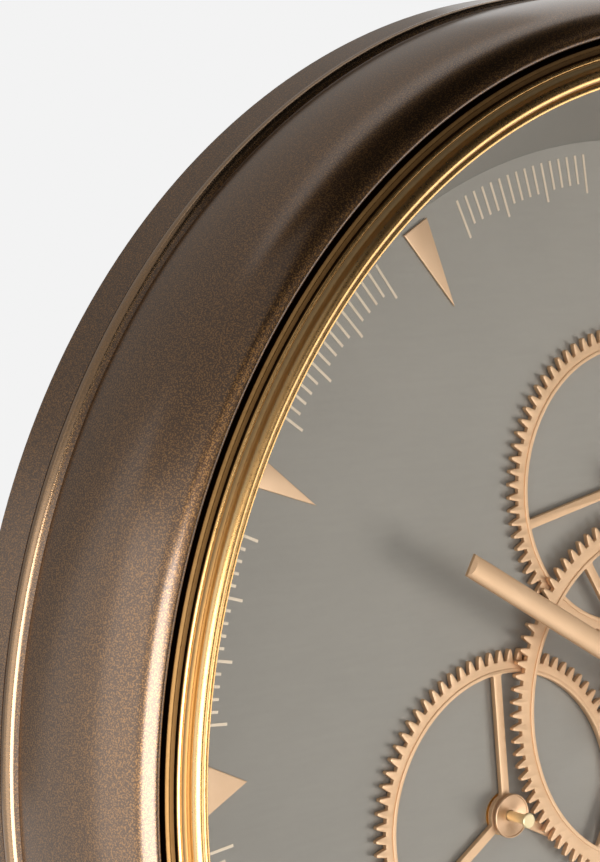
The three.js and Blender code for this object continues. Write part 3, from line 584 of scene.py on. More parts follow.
# %% Glass, gasket and sloping ring
GLASS_RADIUS = 236.0
GLASS_BACK, GLASS_FRONT = depth_of("glass_lens")
GASKET_BACK, GASKET_FRONT = depth_of("glass_gasket")
REHAUT_BACK, REHAUT_FRONT = depth_of("rehaut_ring")
REHAUT_FOOT = 210.5
REHAUT_TOP = 229.0

glass_section = tube(0, GLASS_RADIUS, GLASS_BACK, GLASS_FRONT, 0.4)
settle(turned("glass", glass_section, "glass"), "clock_body", "clear_glass", "glass_lens")

gasket_section = [
    (GLASS_RADIUS - 5.8, GASKET_BACK),
    (GLASS_RADIUS, GASKET_BACK),
    (GLASS_RADIUS, GASKET_FRONT),
    *arc((GLASS_RADIUS - 5.3, (GASKET_BACK + GASKET_FRONT) / 2), (0.5, 0.55), 90, 270, 6),
]
settle(turned("gasket", gasket_section, "rubber"), "clock_body", "gasket_rubber", "glass_gasket")

rehaut_section = [
    (REHAUT_FOOT, REHAUT_BACK),
    (REHAUT_TOP, REHAUT_FRONT),
    (GLASS_RADIUS, REHAUT_FRONT),
    (GLASS_RADIUS, REHAUT_FRONT - 2),
    (REHAUT_TOP + 1.2, REHAUT_FRONT - 2),
    (REHAUT_FOOT + 3.6, REHAUT_BACK + 3),
    (GLASS_RADIUS - 1, REHAUT_BACK + 3),
    (GLASS_RADIUS - 1, REHAUT_BACK),
]
settle(turned("sloping_ring", rehaut_section, "rehaut"), "clock_body", "rehaut_grey", "rehaut_ring")
print("glass from", round(GLASS_BACK, 2), "to", round(GLASS_FRONT, 2))

# %% [markdown]
# Flat pieces with holes, such as wheels and plates, start as filled 2D curves: the first spline is
# the outline, the others are holes, and extrude and bevel give thickness and a fine chamfer. The
# curve is then turned into a mesh and laid in the wall's plane.

# %% Flat pieces
def polar(radius, angle, centre=(0, 0)):
    """A point at a clock angle in degrees."""
    turn = math.radians(angle)
    return (centre[0] + radius * math.sin(turn), centre[1] + radius * math.cos(turn))


def circle(radius, steps=SMALL_STEPS, centre=(0, 0)):
    return [polar(radius, 360 * i / steps, centre) for i in range(steps)]


def rounded_rectangle(width, height, corner, centre=(0, 0), steps=8):
    points = []
    for side_x, side_z, start in ((1, 1, 0), (-1, 1, 90), (-1, -1, 180), (1, -1, 270)):
        middle = (centre[0] + side_x * (width / 2 - corner), centre[1] + side_z * (height / 2 - corner))
        points += arc(middle, (corner, corner), start, start + 90, steps)
    return points


def sheet_mesh(loops, back, front, edge=0.15, centre=CENTRE):
    """A bmesh of a flat piece: closed loops of (x, z) in millimetres between two depths."""
    curve = bpy.data.curves.new("flat", "CURVE")
    curve.dimensions = "2D"
    curve.fill_mode = "BOTH"
    curve.extrude = (front - back) / 2 - edge
    curve.bevel_depth = edge
    curve.bevel_resolution = 1
    curve.offset = -edge
    for loop in loops:
        spline = curve.splines.new("POLY")
        spline.points.add(len(loop) - 1)
        for point, (x, z) in zip(spline.points, loop):
            point.co = (x, z, 0, 1)
        spline.use_cyclic_u = True
    holder = bpy.data.objects.new("flat", curve)
    bpy.context.scene.collection.objects.link(holder)
    bpy.context.view_layer.update()
    data = bpy.data.meshes.new_from_object(holder.evaluated_get(bpy.context.evaluated_depsgraph_get()))
    bpy.data.objects.remove(holder)
    stand = Matrix.Rotation(math.pi / 2, 4, "X")
    middle = Matrix.Translation(centre + Vector((0, -(front + back) / 2 * MM, 0)))
    data.transform(middle @ Matrix.Scale(MM, 4) @ stand)
    mesh = bmesh.new()
    mesh.from_mesh(data)
    bpy.data.meshes.remove(data)
    bmesh.ops.remove_doubles(mesh, verts=mesh.verts, dist=1e-6)
    return mesh


def flat(name, loops, back, front, finish, edge=0.15, centre=CENTRE):
    return finish_mesh(name, sheet_mesh(loops, back, front, edge, centre), finish)


# %% [markdown]
# The dial is a round plate. Its hour marks are triangles that point inwards, wider at 12, 3, 6 and 9,
# and between them stand blocks of fine ticks, sixteen to each hour, every fifth of them longer. The
# ticks are foil a tenth of a millimetre thick and the hour marks plates of one millimetre. Both are
# meshes and no painted texture, so their edges stay sharp from near by.

# %% Dial and its marks
TICK_OUTER = 206.0
TICK_INNER = 195.4
LONG_TICK_INNER = 191.6
TICK_WIDTH = 1.0
TICKS_PER_HOUR = 16
TICK_STEP = 1.2
FIRST_TICK = 6.0
TICK_FOIL = 0.12
MARK_OUTER = 207.2
MARK_PLATE = 1.0
MARK_BEVEL = 0.45
HOUR_TIP, HOUR_HALF = 174.4, 6.1
QUARTER_TIP, QUARTER_HALF = 184.2, 11.9

dial = turned("dial", tube(0, GLASS_RADIUS, DIAL_BACK, DIAL_FRONT), "dial")
settle(dial, "clock_body", "dial_grey", "dial_plate")


def bar_between(mesh, inner, outer, angle, width, back, front):
    """A thin radial bar on the dial, added to a bmesh."""
    along = Vector((math.sin(math.radians(angle)), 0, math.cos(math.radians(angle))))
    across = Vector((along.z, 0, -along.x)) * width / 2
    corners = []
    for depth in (back, front):
        for radius, side in ((inner, -1), (inner, 1), (outer, 1), (outer, -1)):
            corner = along * radius + across * side + Vector((0, -depth, 0))
            corners.append(mesh.verts.new(CENTRE + corner * MM))
    quads = [(0, 1, 2, 3), (4, 5, 6, 7), (0, 1, 5, 4), (1, 2, 6, 5), (2, 3, 7, 6), (3, 0, 4, 7)]
    for quad in quads:
        mesh.faces.new([corners[i] for i in quad])


ticks = bmesh.new()
for hour in range(12):
    for i in range(TICKS_PER_HOUR):
        inner = LONG_TICK_INNER if i % 5 == 0 else TICK_INNER
        angle = 30 * hour + FIRST_TICK + TICK_STEP * i
        bar_between(ticks, inner, TICK_OUTER, angle, TICK_WIDTH, DIAL_FRONT, DIAL_FRONT + TICK_FOIL)
settle(finish_mesh("minute_ticks", ticks, "tick"), "clock_body", "champagne")

for hour in range(12):
    tip, half = (QUARTER_TIP, QUARTER_HALF) if hour % 3 == 0 else (HOUR_TIP, HOUR_HALF)
    spread = math.degrees(math.atan2(half, MARK_OUTER))
    corners = [polar(tip, 30 * hour)]
    corners += [polar(MARK_OUTER, 30 * hour + side * spread) for side in (1, -1)]
    plate_front = DIAL_FRONT + MARK_PLATE
    marker = flat(f"hour_mark_{hour or 12}", [corners], DIAL_FRONT, plate_front, "marker", MARK_BEVEL)
    settle(marker, "clock_body", "champagne")
print("ticks:", 12 * TICKS_PER_HOUR, "hour marks: 12")

# %% [markdown]
# A wheel is cut from sheet: a ring of teeth, a rim, three spokes and a hub. The real teeth are narrow
# at the tip with nearly straight flanks. Each tooth gets a root, a flank that bows a little and a
# narrow tip. The windows between the spokes have small round corners. A low rib runs round the rim's
# inner edge: the disc ends a little behind the CAD's front face and the rib comes up to it.

# %% Wheel outlines
MODULE = 1.5
ADDENDUM = 1.5
DEDENDUM = 2.7
TOOTH_TIP = 1.1
TOOTH_MIDDLE = 2.2
TOOTH_ROOT = 3.0
SPOKE_WIDTH = 3.6
RIB_HEIGHT = 0.35
RIB_WIDTH = 1.4
RIB_INSET = 0.15
WHEEL_BEVEL, RIB_BEVEL = 0.32, 0.14
SPOKES = 3


def teeth(count, first_angle):
    pitch = MODULE * count / 2
    half_widths = [
        (pitch - DEDENDUM, TOOTH_ROOT / 2),
        (pitch - 0.5, TOOTH_MIDDLE / 2),
        (pitch + ADDENDUM - 0.15, TOOTH_TIP / 2),
        (pitch + ADDENDUM, TOOTH_TIP / 2 - 0.2),
    ]
    points = []
    for i in range(count):
        middle = first_angle + 360 * i / count
        rising = [polar(r, middle - math.degrees(half / r)) for r, half in half_widths]
        falling = [polar(r, middle + math.degrees(half / r)) for r, half in reversed(half_widths)]
        points += rising + falling
    return points


def window(rim, hub, corner, spoke_angle):
    """The opening between two spokes, with a round corner where a spoke meets the rim."""
    half = SPOKE_WIDTH / 2
    span = 360 / SPOKES
    hub_corner = min(corner, hub / 3)
    hub_x = math.sqrt((hub + hub_corner) ** 2 - (half + hub_corner) ** 2)
    rim_x = math.sqrt((rim - corner) ** 2 - (half + corner) ** 2)
    hub_turn = math.degrees(math.atan2(half + hub_corner, hub_x))
    rim_turn = math.degrees(math.atan2(half + corner, rim_x))
    side = [
        *arc((0, 0), (hub, hub), span / 2, hub_turn, 6),
        *arc((hub_x, half + hub_corner), (hub_corner, hub_corner), hub_turn + 180, 270, 4)[1:],
        *arc((rim_x, half + corner), (corner, corner), -90, rim_turn, 6),
        *arc((0, 0), (rim, rim), rim_turn, span / 2, 16)[1:],
    ]
    places = [(math.degrees(math.atan2(z, x)), math.hypot(x, z)) for x, z in side]
    places += [(span - turn, radius) for turn, radius in places[1:-1][::-1]]
    return [polar(radius, spoke_angle + turn) for turn, radius in places]


def joined(first, second):
    """One mesh of two closed shells."""
    extra = bpy.data.meshes.new("joined")
    second.to_mesh(extra)
    second.free()
    first.from_mesh(extra)
    bpy.data.meshes.remove(extra)
    return first


def wheel(name, count, tooth_angle, rim_width, hub, corner, spoke_angle, bore, node, centre):
    rim = MODULE * count / 2 - DEDENDUM - rim_width
    windows = [window(rim, hub, corner, spoke_angle + 360 * i / SPOKES) for i in range(SPOKES)]
    loops = [teeth(count, tooth_angle), *windows, circle(bore)]
    back, front = depth_of(node)
    disc = sheet_mesh(loops, back, front - RIB_HEIGHT, WHEEL_BEVEL, centre)
    rib_inner = rim + RIB_INSET
    rib_loops = [circle(rib_inner + RIB_WIDTH, 120), circle(rib_inner, 120)]
    rib = sheet_mesh(rib_loops, front - 3 * RIB_HEIGHT, front, RIB_BEVEL, centre)
    return finish_mesh(name, joined(disc, rib), "champagne")


# %% [markdown]
# The train has a crown wheel on the clock's axis with a small sun pinion behind it, and three outer
# wheels that the pinion meshes with. Each outer wheel turns on a long arbor with a flat bright head,
# and a dished cap covers its hub. The tooth angles are the CAD's, so teeth lie in gaps.

# %% Gear train
SUN_TEETH, PLANET_TEETH, CROWN_TEETH = 30, 78, 94
SUN_TOOTH_ANGLE = 4.5
CROWN_TOOTH_ANGLE, CROWN_SPOKE_ANGLE = -26.1, -30.6
PLANET_ANGLES = {"a": (-4.9, 19.0), "c": (-113.9, -2.3), "d": (120.0, 75.0)}
PLANET_RIM, PLANET_HUB, PLANET_CORNER = 4.4, 7.6, 0.9
CROWN_RIM, CROWN_HUB, CROWN_CORNER = 5.9, 12, 1.2
ARBOR_RADIUS = 1.8
ARBOR_BORE = 2.1
HEAD_RADIUS = 2.7
HEAD_THICKNESS = 1.4
CAP_RADIUS = 8.0
CAP_FLOOR = 3.2
CAP_WALL = 0.8
SPACER_RADIUS = 7.8
CROWN_BORE = 6.3
PINION_BEVEL = 0.25


def planet_tooth_angle(line_angle):
    """An outer wheel has a gap where the sun pinion has a tooth."""
    tooth_from_line = SUN_TOOTH_ANGLE - line_angle
    return line_angle + 180 - tooth_from_line * SUN_TEETH / PLANET_TEETH + 180 / PLANET_TEETH


for letter, (line_angle, spoke_angle) in PLANET_ANGLES.items():
    body = f"gear_{letter}_body"
    centre = place_of(f"gear_{letter}")
    disc = wheel(
        f"wheel_{letter}", PLANET_TEETH, planet_tooth_angle(line_angle), PLANET_RIM, PLANET_HUB,
        PLANET_CORNER, spoke_angle, ARBOR_BORE, f"gear_{letter}", centre,
    )
    settle(disc, body, "champagne", f"gear_{letter}")

    cap_back, cap_front = depth_of(f"hub_cap_{letter}")
    cap_section = [
        (ARBOR_BORE, cap_back),
        (CAP_FLOOR + CAP_WALL, cap_back),
        (CAP_RADIUS - 0.15, cap_front - 0.95),
        (CAP_RADIUS, cap_front - 0.7),
        *arc((CAP_RADIUS - 0.4, cap_front - 0.4), (0.4, 0.4), 0, 180, 8),
        (CAP_FLOOR, cap_back + 0.9),
        (CAP_FLOOR - 0.2, cap_back + CAP_WALL),
        (ARBOR_BORE, cap_back + CAP_WALL),
    ]
    cap = turned(f"cap_{letter}", cap_section, "hub_cap", SMALL_STEPS, centre)
    settle(cap, body, "champagne", f"hub_cap_{letter}")

    pin_back, pin_front = depth_of(f"arbor_{letter}")
    pin_section = [
        (0, pin_back),
        (ARBOR_RADIUS, pin_back),
        (ARBOR_RADIUS, pin_front - HEAD_THICKNESS),
        (HEAD_RADIUS - 0.2, pin_front - HEAD_THICKNESS),
        (HEAD_RADIUS, pin_front - 1.2),
        (HEAD_RADIUS, pin_front - 0.25),
        (HEAD_RADIUS - 0.25, pin_front),
        (0, pin_front),
    ]
    pin = turned(f"pin_{letter}", pin_section, "bright_pin", SMALL_STEPS, centre)
    carrier = body if letter == "c" else "clock_body"
    settle(pin, carrier, "brass", f"arbor_{letter}")

    foot_section = tube(ARBOR_BORE, SPACER_RADIUS, *depth_of(f"spacer_{letter}"))
    foot_ring = turned(f"foot_ring_{letter}", foot_section, "brass", SMALL_STEPS, centre)
    settle(foot_ring, "clock_body", "brass", f"spacer_{letter}")

crown = wheel(
    "wheel_b", CROWN_TEETH, CROWN_TOOTH_ANGLE, CROWN_RIM, CROWN_HUB, CROWN_CORNER, CROWN_SPOKE_ANGLE,
    CROWN_BORE, "gear_b", CENTRE,
)
settle(crown, "gear_b_body", "champagne", "gear_b")
pinion_loops = [teeth(SUN_TEETH, SUN_TOOTH_ANGLE), circle(CROWN_BORE)]
pinion = flat("pinion", pinion_loops, *depth_of("sun_pinion"), "champagne", PINION_BEVEL)
settle(pinion, "gear_b_body", "champagne", "sun_pinion")
print("wheels: 4, pinion: 1")

# %% [markdown]
# At the centre a hollow stud comes through the dial. A bush carries the crown wheel on it, and a
# washer and a hexagon nut hold the movement. The hour hand sits on a tube and the minute hand on a
# shaft inside it, closed by a small round nut.

# %% Centre
STUD_BORE, STUD_RADIUS = 2.9, 4.0
BUSH_BORE, BUSH_RADIUS = 4.3, 6.0
WASHER_RADIUS = 9.3
TUBE_BORE, TUBE_RADIUS = 1.9, 2.6
SHAFT_RADIUS = 1.6
NUT_RADIUS = 7


def ring_piece(name, node, bore, radius, edge=0.2, body="clock_body"):
    """A plain brass tube on the clock's axis with chamfered ends, as long as its CAD node."""
    section = tube(bore, radius, *depth_of(node), edge)
    settle(turned(name, section, "brass", SMALL_STEPS), body, "brass", node)


ring_piece("bush", "centre_bush", BUSH_BORE, BUSH_RADIUS)
ring_piece("washer", "stud_washer", BUSH_BORE, WASHER_RADIUS, 0.15)
ring_piece("stud", "movement_stud", STUD_BORE, STUD_RADIUS)
ring_piece("tube", "hour_tube", TUBE_BORE, TUBE_RADIUS, 0.2, "hour_body")
ring_piece("shaft", "minute_shaft", 0, SHAFT_RADIUS, 0.3, "minute_body")
nut_loops = [circle(NUT_RADIUS, 6), circle(BUSH_BORE)]
nut = flat("hexagon_nut", nut_loops, *depth_of("stud_nut"), "brass", 0.4)
settle(nut, "clock_body", "brass", "stud_nut")

# %% [markdown]
# The hands are plain half-round bars, flat behind and a little narrower at the tip. A slanting cut
# takes the front edge off the tip, and the facet that it leaves catches the light. Each bar is
# lofted: the same arched section is laid along its length with a changing width, and a bisecting
# plane makes the cut. A round eye carries the hand on its tube or shaft.

# %% Hands
HAND_TAIL = 24.0
HAND_EDGE = 0.6
HAND_CHAMFER = 1.3
EYE_BEVEL = 0.3
HOUR_ANGLE, MINUTE_ANGLE = 301.5, 18.0
ARCH_STEPS = 20


def bar_mesh(length, width, tip_width, back, front):
    mesh = bmesh.new()
    rows = []
    for along in (-HAND_TAIL, 0, length):
        wide = (width + (tip_width - width) * along / length) / 2
        arch = arc((0, back + HAND_EDGE), (wide, front - back - HAND_EDGE), 180, 0, ARCH_STEPS)
        section = [(-wide, back), *arch, (wide, back)]
        rows.append([mesh.verts.new(Vector((x, -depth, along)) * MM) for x, depth in section])
    for first, second in zip(rows, rows[1:]):
        for i in range(len(first)):
            j = (i + 1) % len(first)
            mesh.faces.new([first[i], first[j], second[j], second[i]])
    mesh.faces.new(rows[0])
    mesh.faces.new(rows[-1])
    corner = Vector((0, -front, length - HAND_CHAMFER)) * MM
    parted = bmesh.ops.bisect_plane(
        mesh,
        geom=[*mesh.verts, *mesh.edges, *mesh.faces],
        plane_co=corner,
        plane_no=(0, -1, 1),
        clear_outer=True,
    )
    rim = [item for item in parted["geom_cut"] if isinstance(item, bmesh.types.BMEdge)]
    bmesh.ops.contextual_create(mesh, geom=rim)
    return mesh


def hand(name, node, body, length, width, tip_width, eye, bore, angle):
    back, front = depth_of(node)
    mesh = bar_mesh(length, width, tip_width, back, front)
    sweep(mesh, tube(bore, eye, back, front, EYE_BEVEL), SMALL_STEPS, ORIGIN)
    turn = Matrix.Translation(CENTRE) @ Matrix.Rotation(math.radians(angle), 4, "Y")
    bmesh.ops.transform(mesh, matrix=turn, verts=mesh.verts)
    return settle(finish_mesh(name, mesh, "champagne"), body, "champagne", node)


hand("hour_bar", "hour_hand", "hour_body", 121.6, 9.0, 8.2, 7.0, 2.9, HOUR_ANGLE)
hand("minute_bar", "minute_hand", "minute_body", 190.0, 8.0, 7.2, 6.0, 1.9, MINUTE_ANGLE)

DOME_BORE, DOME_RADIUS, DOME_FOOT, DOME_ROOF = 1.9, 4.0, 0.9, 1.0
nut_back, nut_front = depth_of("hand_nut")
dome_section = [
    (DOME_BORE, nut_back),
    (DOME_RADIUS, nut_back),
    (DOME_RADIUS, nut_back + DOME_FOOT),
    *arc((0, nut_back + DOME_FOOT), (DOME_RADIUS, nut_front - nut_back - DOME_FOOT), 0, 90, 14)[:-1],
    (0, nut_front),
    (0, nut_front - DOME_ROOF),
    (DOME_BORE, nut_front - DOME_ROOF),
]
settle(turned("dome_nut", dome_section, "brass", SMALL_STEPS), "minute_body", "brass", "hand_nut")
print("hands: 2")

# %% [markdown]
# The back shows the rear frame, a hanger with a keyhole, the screws and two battery units. The rear
# frame is turned like the band, and a boolean cuts the room for the nail's head.

# %% Rear frame
FRAME_RADIUS = 268.3
FRAME_FLARE = 2.8
FRAME_WEB_FRONT = 14.1
FRAME_WALL_OUTER = 245.3
FRAME_LEDGE_INNER = 226.0
UNIT_FRONT = 25.0
RIM_INNER = 262.3
WEB_BACK = 11.1
LEDGE_BACK = 22.0
NAIL_ROOM = (15.0, 26.0)
NAIL_ROOM_Z = 246.9

frame_section = [
    (FRAME_RADIUS, 0),
    (FRAME_RADIUS - FRAME_FLARE, FRAME_WEB_FRONT),
    (FRAME_WALL_OUTER, FRAME_WEB_FRONT),
    (FRAME_WALL_OUTER, UNIT_FRONT),
    (FRAME_LEDGE_INNER, UNIT_FRONT),
    (FRAME_LEDGE_INNER, LEDGE_BACK),
    (FRAME_WALL_OUTER - 3, LEDGE_BACK),
    (FRAME_WALL_OUTER - 3, WEB_BACK),
    (RIM_INNER, WEB_BACK),
    (RIM_INNER, 0),
]
rear = turned("back_frame", frame_section, "bronze")


def carve(piece, tool):
    """Cuts one object out of another and leaves the result as a plain mesh."""
    cut = piece.modifiers.new("cut", "BOOLEAN")
    cut.operation = "DIFFERENCE"
    cut.object = tool
    bpy.context.view_layer.update()
    data = bpy.data.meshes.new_from_object(piece.evaluated_get(bpy.context.evaluated_depsgraph_get()))
    piece.modifiers.clear()
    piece.data = data
    bpy.data.objects.remove(tool)


nail_loop = rounded_rectangle(*NAIL_ROOM, 1.0, (0, NAIL_ROOM_Z))
carve(rear, flat("nail_room", [nail_loop], WEB_BACK - 1, FRAME_WEB_FRONT + 1, "bronze", 0.01))
settle(rear, "clock_body", "bronze_lacquer", "rear_frame")
print("rear frame:", len(rear.data.polygons), "faces")

# %% [markdown]
# The hanger is a steel strip with a keyhole: the nail's head goes in through the round hole and the
# shank lies in the slot above. The hole and the slot are one loop, an arc and a narrower arc.

# %% Hanger
HANGER_Z = 252.4
KEY_HEAD, KEY_SLOT, KEY_LENGTH = 5.5, 2.7, 7.5
slot_turn = math.degrees(math.asin(KEY_SLOT / KEY_HEAD))
keyhole = [
    *arc((0, HANGER_Z), (KEY_SLOT, KEY_SLOT), 0, 180, 16),
    *arc((0, HANGER_Z - KEY_LENGTH), (KEY_HEAD, KEY_HEAD), 90 + slot_turn, 450 - slot_turn, 40),
]
hanger_outline = rounded_rectangle(56, 18, 3, (0, HANGER_Z - 3))
hanger = flat("keyhole_plate", [hanger_outline, keyhole], *depth_of("hanger_plate"), "steel", 0.15)
settle(hanger, "clock_body", "steel", "hanger_plate")

# %% [markdown]
# The screws are pan heads with a cross recess. A head is a small dome, and a boolean cuts the cross.
# Each screw is made at the origin and moved to the place of its CAD node, turned by an angle of its
# own, because screws never stop at the same one.

# %% Screws
SCREW_HEAD = 3.2
SCREW_RADIUS = 1.5
CROSS_REACH, CROSS_HALF = 1.7, 0.35
SCREW_TURN = 37


def screw_mesh(head_back, head_front, tip):
    mesh = bmesh.new()
    section = [
        (0, head_back),
        (SCREW_HEAD * 0.55, head_back + 0.05),
        (SCREW_HEAD * 0.8, head_back + 0.3),
        (SCREW_HEAD * 0.95, head_back + 0.9),
        (SCREW_HEAD, head_front - 0.3),
        (SCREW_HEAD, head_front),
        (SCREW_RADIUS, head_front),
        (SCREW_RADIUS, tip - 0.5),
        (SCREW_RADIUS - 0.5, tip),
        (0, tip),
    ]
    sweep(mesh, section, 32, ORIGIN)
    return mesh


def cross_loop(reach, half):
    loop = []
    for quarter in range(4):
        turn = -math.pi / 2 * quarter
        for x, z in ((half, reach), (half, half), (reach, half)):
            across = x * math.cos(turn) - z * math.sin(turn)
            up = x * math.sin(turn) + z * math.cos(turn)
            loop.append((across, up))
    return loop


def screws(name, nodes):
    for node in nodes:
        number = int(node[-1])
        back, front = depth_of(node)
        piece = finish_mesh(f"{name}_{number}", screw_mesh(back, back + 2, front), "steel")
        cross = [cross_loop(CROSS_REACH, CROSS_HALF)]
        carve(piece, flat("cross", cross, back - 1, back + 1.1, "steel", 0.01, ORIGIN))
        turn = Matrix.Rotation(math.radians(SCREW_TURN * number), 4, "Y")
        piece.data.transform(Matrix.Translation(place_of(node)) @ turn)
        settle(piece, "clock_body", "steel", node)


screws("rim_screw", [f"case_screw_{i}" for i in range(1, 7)])
screws("face_screw", [f"dial_screw_{i}" for i in range(1, 7)])
screws("strip_screw", ["hanger_screw_1", "hanger_screw_2"])
screws("drive_screw", ["motor_screw_1", "motor_screw_2"])
print("screws: 16")

# %% [markdown]
# Each battery unit is a moulded black box with a bay for one cell, open to the wall. It is built in
# layers that lie face to face in one mesh: the front layer is closed, and the back layer has the
# bay's opening. Ribs across the bay's floor carry the cell, and a raised line frames the plain field
# above the bay.

# %% Battery units
UNIT_SIZE = 56.0
UNIT_BACK = 9.0
BAY = (53.0, 15.2)
BAY_FRONT = 22.5
BAY_Z = -UNIT_SIZE / 2 + 1.7 + BAY[1] / 2
BAY_RIBS = (-15, 0, 15)
FIELD_OUTER, FIELD_INNER, FIELD_Z = (38, 17, 2), (36.4, 15.4, 1.6), 14
EAR_WIDTH, EAR_LENGTH, EAR_THICKNESS, EAR_HOLE = 10.0, 8.0, 3.0, 1.8
KNOB_RIBS, KNOB_ROOT, KNOB_TIP, KNOB_STEM = 36, 5.9, 6.5, 2


def unit_mesh(centre, has_ears, bore):
    outline = rounded_rectangle(UNIT_SIZE, UNIT_SIZE, 4)
    bay = rounded_rectangle(*BAY, 0.8, (0, BAY_Z))
    layers = [
        ([outline, bay], UNIT_BACK, BAY_FRONT, 0.4),
        ([outline, circle(bore)], BAY_FRONT, UNIT_FRONT, 0.25),
    ]
    field = [rounded_rectangle(*size, (0, FIELD_Z)) for size in (FIELD_OUTER, FIELD_INNER)]
    layers.append((field, UNIT_BACK - 0.25, UNIT_BACK + 0.2, 0.1))
    for x in BAY_RIBS:
        rib = rounded_rectangle(1.2, BAY[1] - 0.6, 0.3, (x, BAY_Z))
        layers.append(([rib], BAY_FRONT - 0.8, BAY_FRONT + 0.1, 0.1))
    if has_ears:
        for side in (-1, 1):
            ear_z = side * (UNIT_SIZE + EAR_LENGTH - 2) / 2
            ear = rounded_rectangle(EAR_WIDTH, EAR_LENGTH + 2, 3, (0, ear_z))
            hole = circle(EAR_HOLE, 24, (0, side * (UNIT_SIZE + EAR_LENGTH) / 2))
            layers.append(([ear, hole], UNIT_FRONT - EAR_THICKNESS, UNIT_FRONT, 0.3))
    whole = bmesh.new()
    for loops, back, front, edge in layers:
        joined(whole, sheet_mesh(loops, back, front, edge, centre))
    return whole


movement = finish_mesh("movement_box", unit_mesh(CENTRE, False, BUSH_BORE), "plastic")
settle(movement, "clock_body", "black_plastic", "movement_case")
drive = finish_mesh("drive_box", unit_mesh(place_of("gear_motor_case"), True, ARBOR_BORE), "plastic")
settle(drive, "clock_body", "black_plastic", "gear_motor_case")
print("battery units: 2")

# %% [markdown]
# The setting knob is a ribbed disc on a short stem. Each of its ribs is four points of one loop.

# %% Setting knob
knob_back, knob_front = depth_of("setting_knob")
knob_place = place_of("setting_knob")
ribbed = []
for i in range(KNOB_RIBS):
    middle = 360 * i / KNOB_RIBS
    for radius, turn in ((KNOB_ROOT, -2.6), (KNOB_TIP, 1.0), (KNOB_TIP, 2.6), (KNOB_ROOT, 5.2)):
        ribbed.append(polar(radius, middle + turn))
knob_mesh = sheet_mesh([ribbed], knob_back, UNIT_BACK - 0.3, 0.25, knob_place)
sweep(knob_mesh, tube(0, KNOB_STEM, UNIT_BACK - 0.4, knob_front), 32, knob_place)
knob = finish_mesh("time_knob", knob_mesh, "plastic")
settle(knob, "knob_body", "black_plastic", "setting_knob")
print("knob ribs:", KNOB_RIBS)

# %% [markdown]
# The contacts at the ends of the bays keep their CAD shape, because a bent strip is just that. They
# only get the steel finish on their material slots.

# %% Carried-over contacts
for unit in ("motor", "movement"):
    for side in ("left", "right"):
        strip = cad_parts[f"{unit}_contact_{side}"]
        strip.data.materials.clear()
        strip.data.materials.append(FINISH["steel"])
print("contacts: 4")

# %% [markdown]
# The studio is plain: a pale floor far below the clock and a pale surround. The camera, mirrors and
# glass see the surround at full tone, and everything else gets a softer share of it, so the lamps
# model the forms. A Light Path node tells the rays apart. The floor glows faintly of itself, because
# the lamps face the clock and leave most of it without light.

# %% Surround and floor
PALE = (0.896, 0.896, 0.896, 1)
AMBIENT = 0.45
FLOOR_Z = -2.0
FLOOR_GLOW = 0.34
world = bpy.data.worlds.new("studio")
bpy.context.scene.world = world
world.use_nodes = True
world.node_tree.nodes.clear()


def paler_for_sight(tree, strength):
    """Strength 1 for rays that see the surround and a lower one for those that only light."""
    path = tree.nodes.new("ShaderNodeLightPath")
    total = path.outputs["Is Camera Ray"]
    for ray in ("Is Glossy Ray", "Is Transmission Ray"):
        add = tree.nodes.new("ShaderNodeMath")
        add.operation = "MAXIMUM"
        tree.links.new(total, add.inputs[0])
        tree.links.new(path.outputs[ray], add.inputs[1])
        total = add.outputs[0]
    span = tree.nodes.new("ShaderNodeMapRange")
    span.inputs["To Min"].default_value = strength
    span.inputs["To Max"].default_value = 1.0
    tree.links.new(total, span.inputs["Value"])
    return span.outputs[0]


background = world.node_tree.nodes.new("ShaderNodeBackground")
background.inputs["Color"].default_value = PALE
world.node_tree.links.new(paler_for_sight(world.node_tree, AMBIENT), background.inputs["Strength"])
world_out = world.node_tree.nodes.new("ShaderNodeOutputWorld")
world.node_tree.links.new(background.outputs[0], world_out.inputs["Surface"])

floor_paint = Paint("floor_finish")
floor_tone = floor_paint.mix(floor_paint.noise(3, 2.0), "ececec", "f2f2f2")
FINISH["floor"] = floor_paint.surface(
    Base_Color=floor_tone,
    Roughness=0.9,
    Specular_IOR_Level=0.0,
    Emission_Color=floor_tone,
    Emission_Strength=FLOOR_GLOW,
)
floor_mesh = bmesh.new()
bmesh.ops.create_grid(floor_mesh, x_segments=8, y_segments=8, size=6)
bmesh.ops.translate(floor_mesh, verts=floor_mesh.verts, vec=(0, 0, FLOOR_Z))
floor = finish_mesh("floor", floor_mesh, "floor")
floor.visible_glossy = False
floor.visible_diffuse = False
print("floor at", FLOOR_Z, "m")

# %% [markdown]
# Two lamps only light. The key stands at the front right, below the clock's centre, so the hands and
# the wheels throw soft shadows up and to the left, and a weaker fill comes from the left. Metal shows
# what stands around it, so three bright panels stand there for its mirror image alone: a wide one at
# the front left, which draws the broad highlight on the band, a dimmer one further left, and one at
# the right for the ring's inner edges.

# %% Lamps and panels
def facing(azimuth, elevation):
    """A direction away from the clock: azimuth to the viewer's right, elevation up, in degrees."""
    turn, rise = math.radians(azimuth), math.radians(elevation)
    return Vector((math.sin(turn) * math.cos(rise), -math.cos(turn) * math.cos(rise), math.sin(rise)))


def lamp(name, direction, distance, size, power, mirrored, roll=0):
    """An area lamp that faces the clock. It either lights it or is seen by its mirroring metal."""
    data = bpy.data.lights.new(name, "AREA")
    data.shape = "RECTANGLE"
    data.size, data.size_y = size
    data.energy = power
    holder = bpy.data.objects.new(name, data)
    holder.location = CENTRE + direction * distance
    holder.rotation_mode = "QUATERNION"
    spin = Quaternion((0, 0, 1), math.radians(roll))
    holder.rotation_quaternion = (-direction).to_track_quat("-Z", "Y") @ spin
    holder.visible_glossy = mirrored
    holder.visible_diffuse = not mirrored
    holder.visible_camera = False
    bpy.context.scene.collection.objects.link(holder)


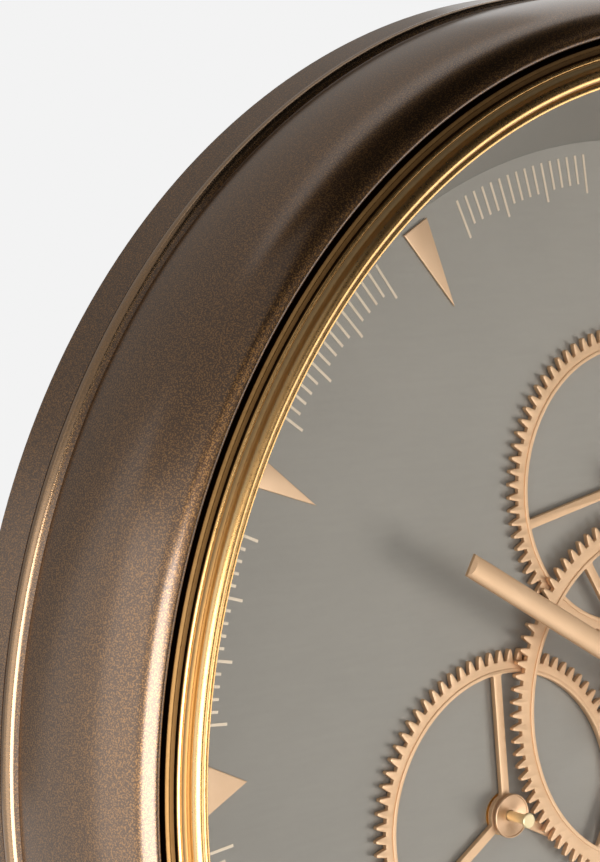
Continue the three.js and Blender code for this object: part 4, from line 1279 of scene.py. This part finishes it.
lamp("key", facing(40, -16), 1.8, (0.8, 0.8), 20, False)
lamp("fill", facing(-50, 15), 1.8, (1.2, 1.2), 4, False)
lamp("panel_front", facing(-21, -8), 2.65, (3.3, 2.0), 165, True, -8)
lamp("panel_left", facing(-90, -4), 2.2, (1.7, 2.5), 12, True)
lamp("panel_right", facing(80, -22), 2.2, (1.8, 1.5), 18, True)
print("lamps: 2, panels: 3")

# %% [markdown]
# Cards do the opposite. Two dark ones, in front and above, leave the band's top and crest almost
# black, and two grey ones, at the upper left and behind, dim the surround that its side mirrors. Each
# card glows a little by itself, so the lamps don't change its tone, and only mirrors see it.

# %% Dark and grey cards
def card_paint(name, dark, light):
    paint = Paint(name)
    return paint.surface(
        Base_Color=(0, 0, 0, 1),
        Roughness=1.0,
        Specular_IOR_Level=0.0,
        Emission_Color=paint.mix(paint.noise(4, 2.0), dark, light),
        Emission_Strength=1.0,
    )


FINISH["dark_card"] = card_paint("dark_card_finish", "101010", "181818")
FINISH["grey_card"] = card_paint("grey_card_finish", "a5a29f", "aeaba8")


def card(name, finish, direction, distance, width, height, roll=0):
    """A card that only mirrors see, rolled by an angle in degrees."""
    mesh = bmesh.new()
    bmesh.ops.create_grid(mesh, x_segments=1, y_segments=1, size=0.5)
    towards = direction.to_track_quat("Z", "Y").to_matrix().to_4x4()
    spin = Matrix.Rotation(math.radians(roll), 4, "Z")
    stand = Matrix.Translation(CENTRE + direction * distance) @ towards @ spin
    bmesh.ops.transform(mesh, matrix=stand @ Matrix.Diagonal((width, height, 1, 1)), verts=mesh.verts)
    piece = finish_mesh(name, mesh, finish)
    for sight in ("camera", "diffuse", "shadow", "transmission"):
        setattr(piece, f"visible_{sight}", False)


card("card_front", "dark_card", facing(9, 26), 2.3, 2.75, 5.5, 60)
card("card_top", "dark_card", facing(0, 74), 2.3, 3.6, 2.9)
card("card_side", "grey_card", facing(-75, 50), 2.4, 3.6, 1.5)
card("card_back", "grey_card", facing(-173, 25), 2.4, 3.8, 3.8)
print("cards: 4")

# %% [markdown]
# Last comes the view transform, which shows each colour as it is written.

# %% Finish
bpy.context.scene.view_settings.view_transform = "Standard"
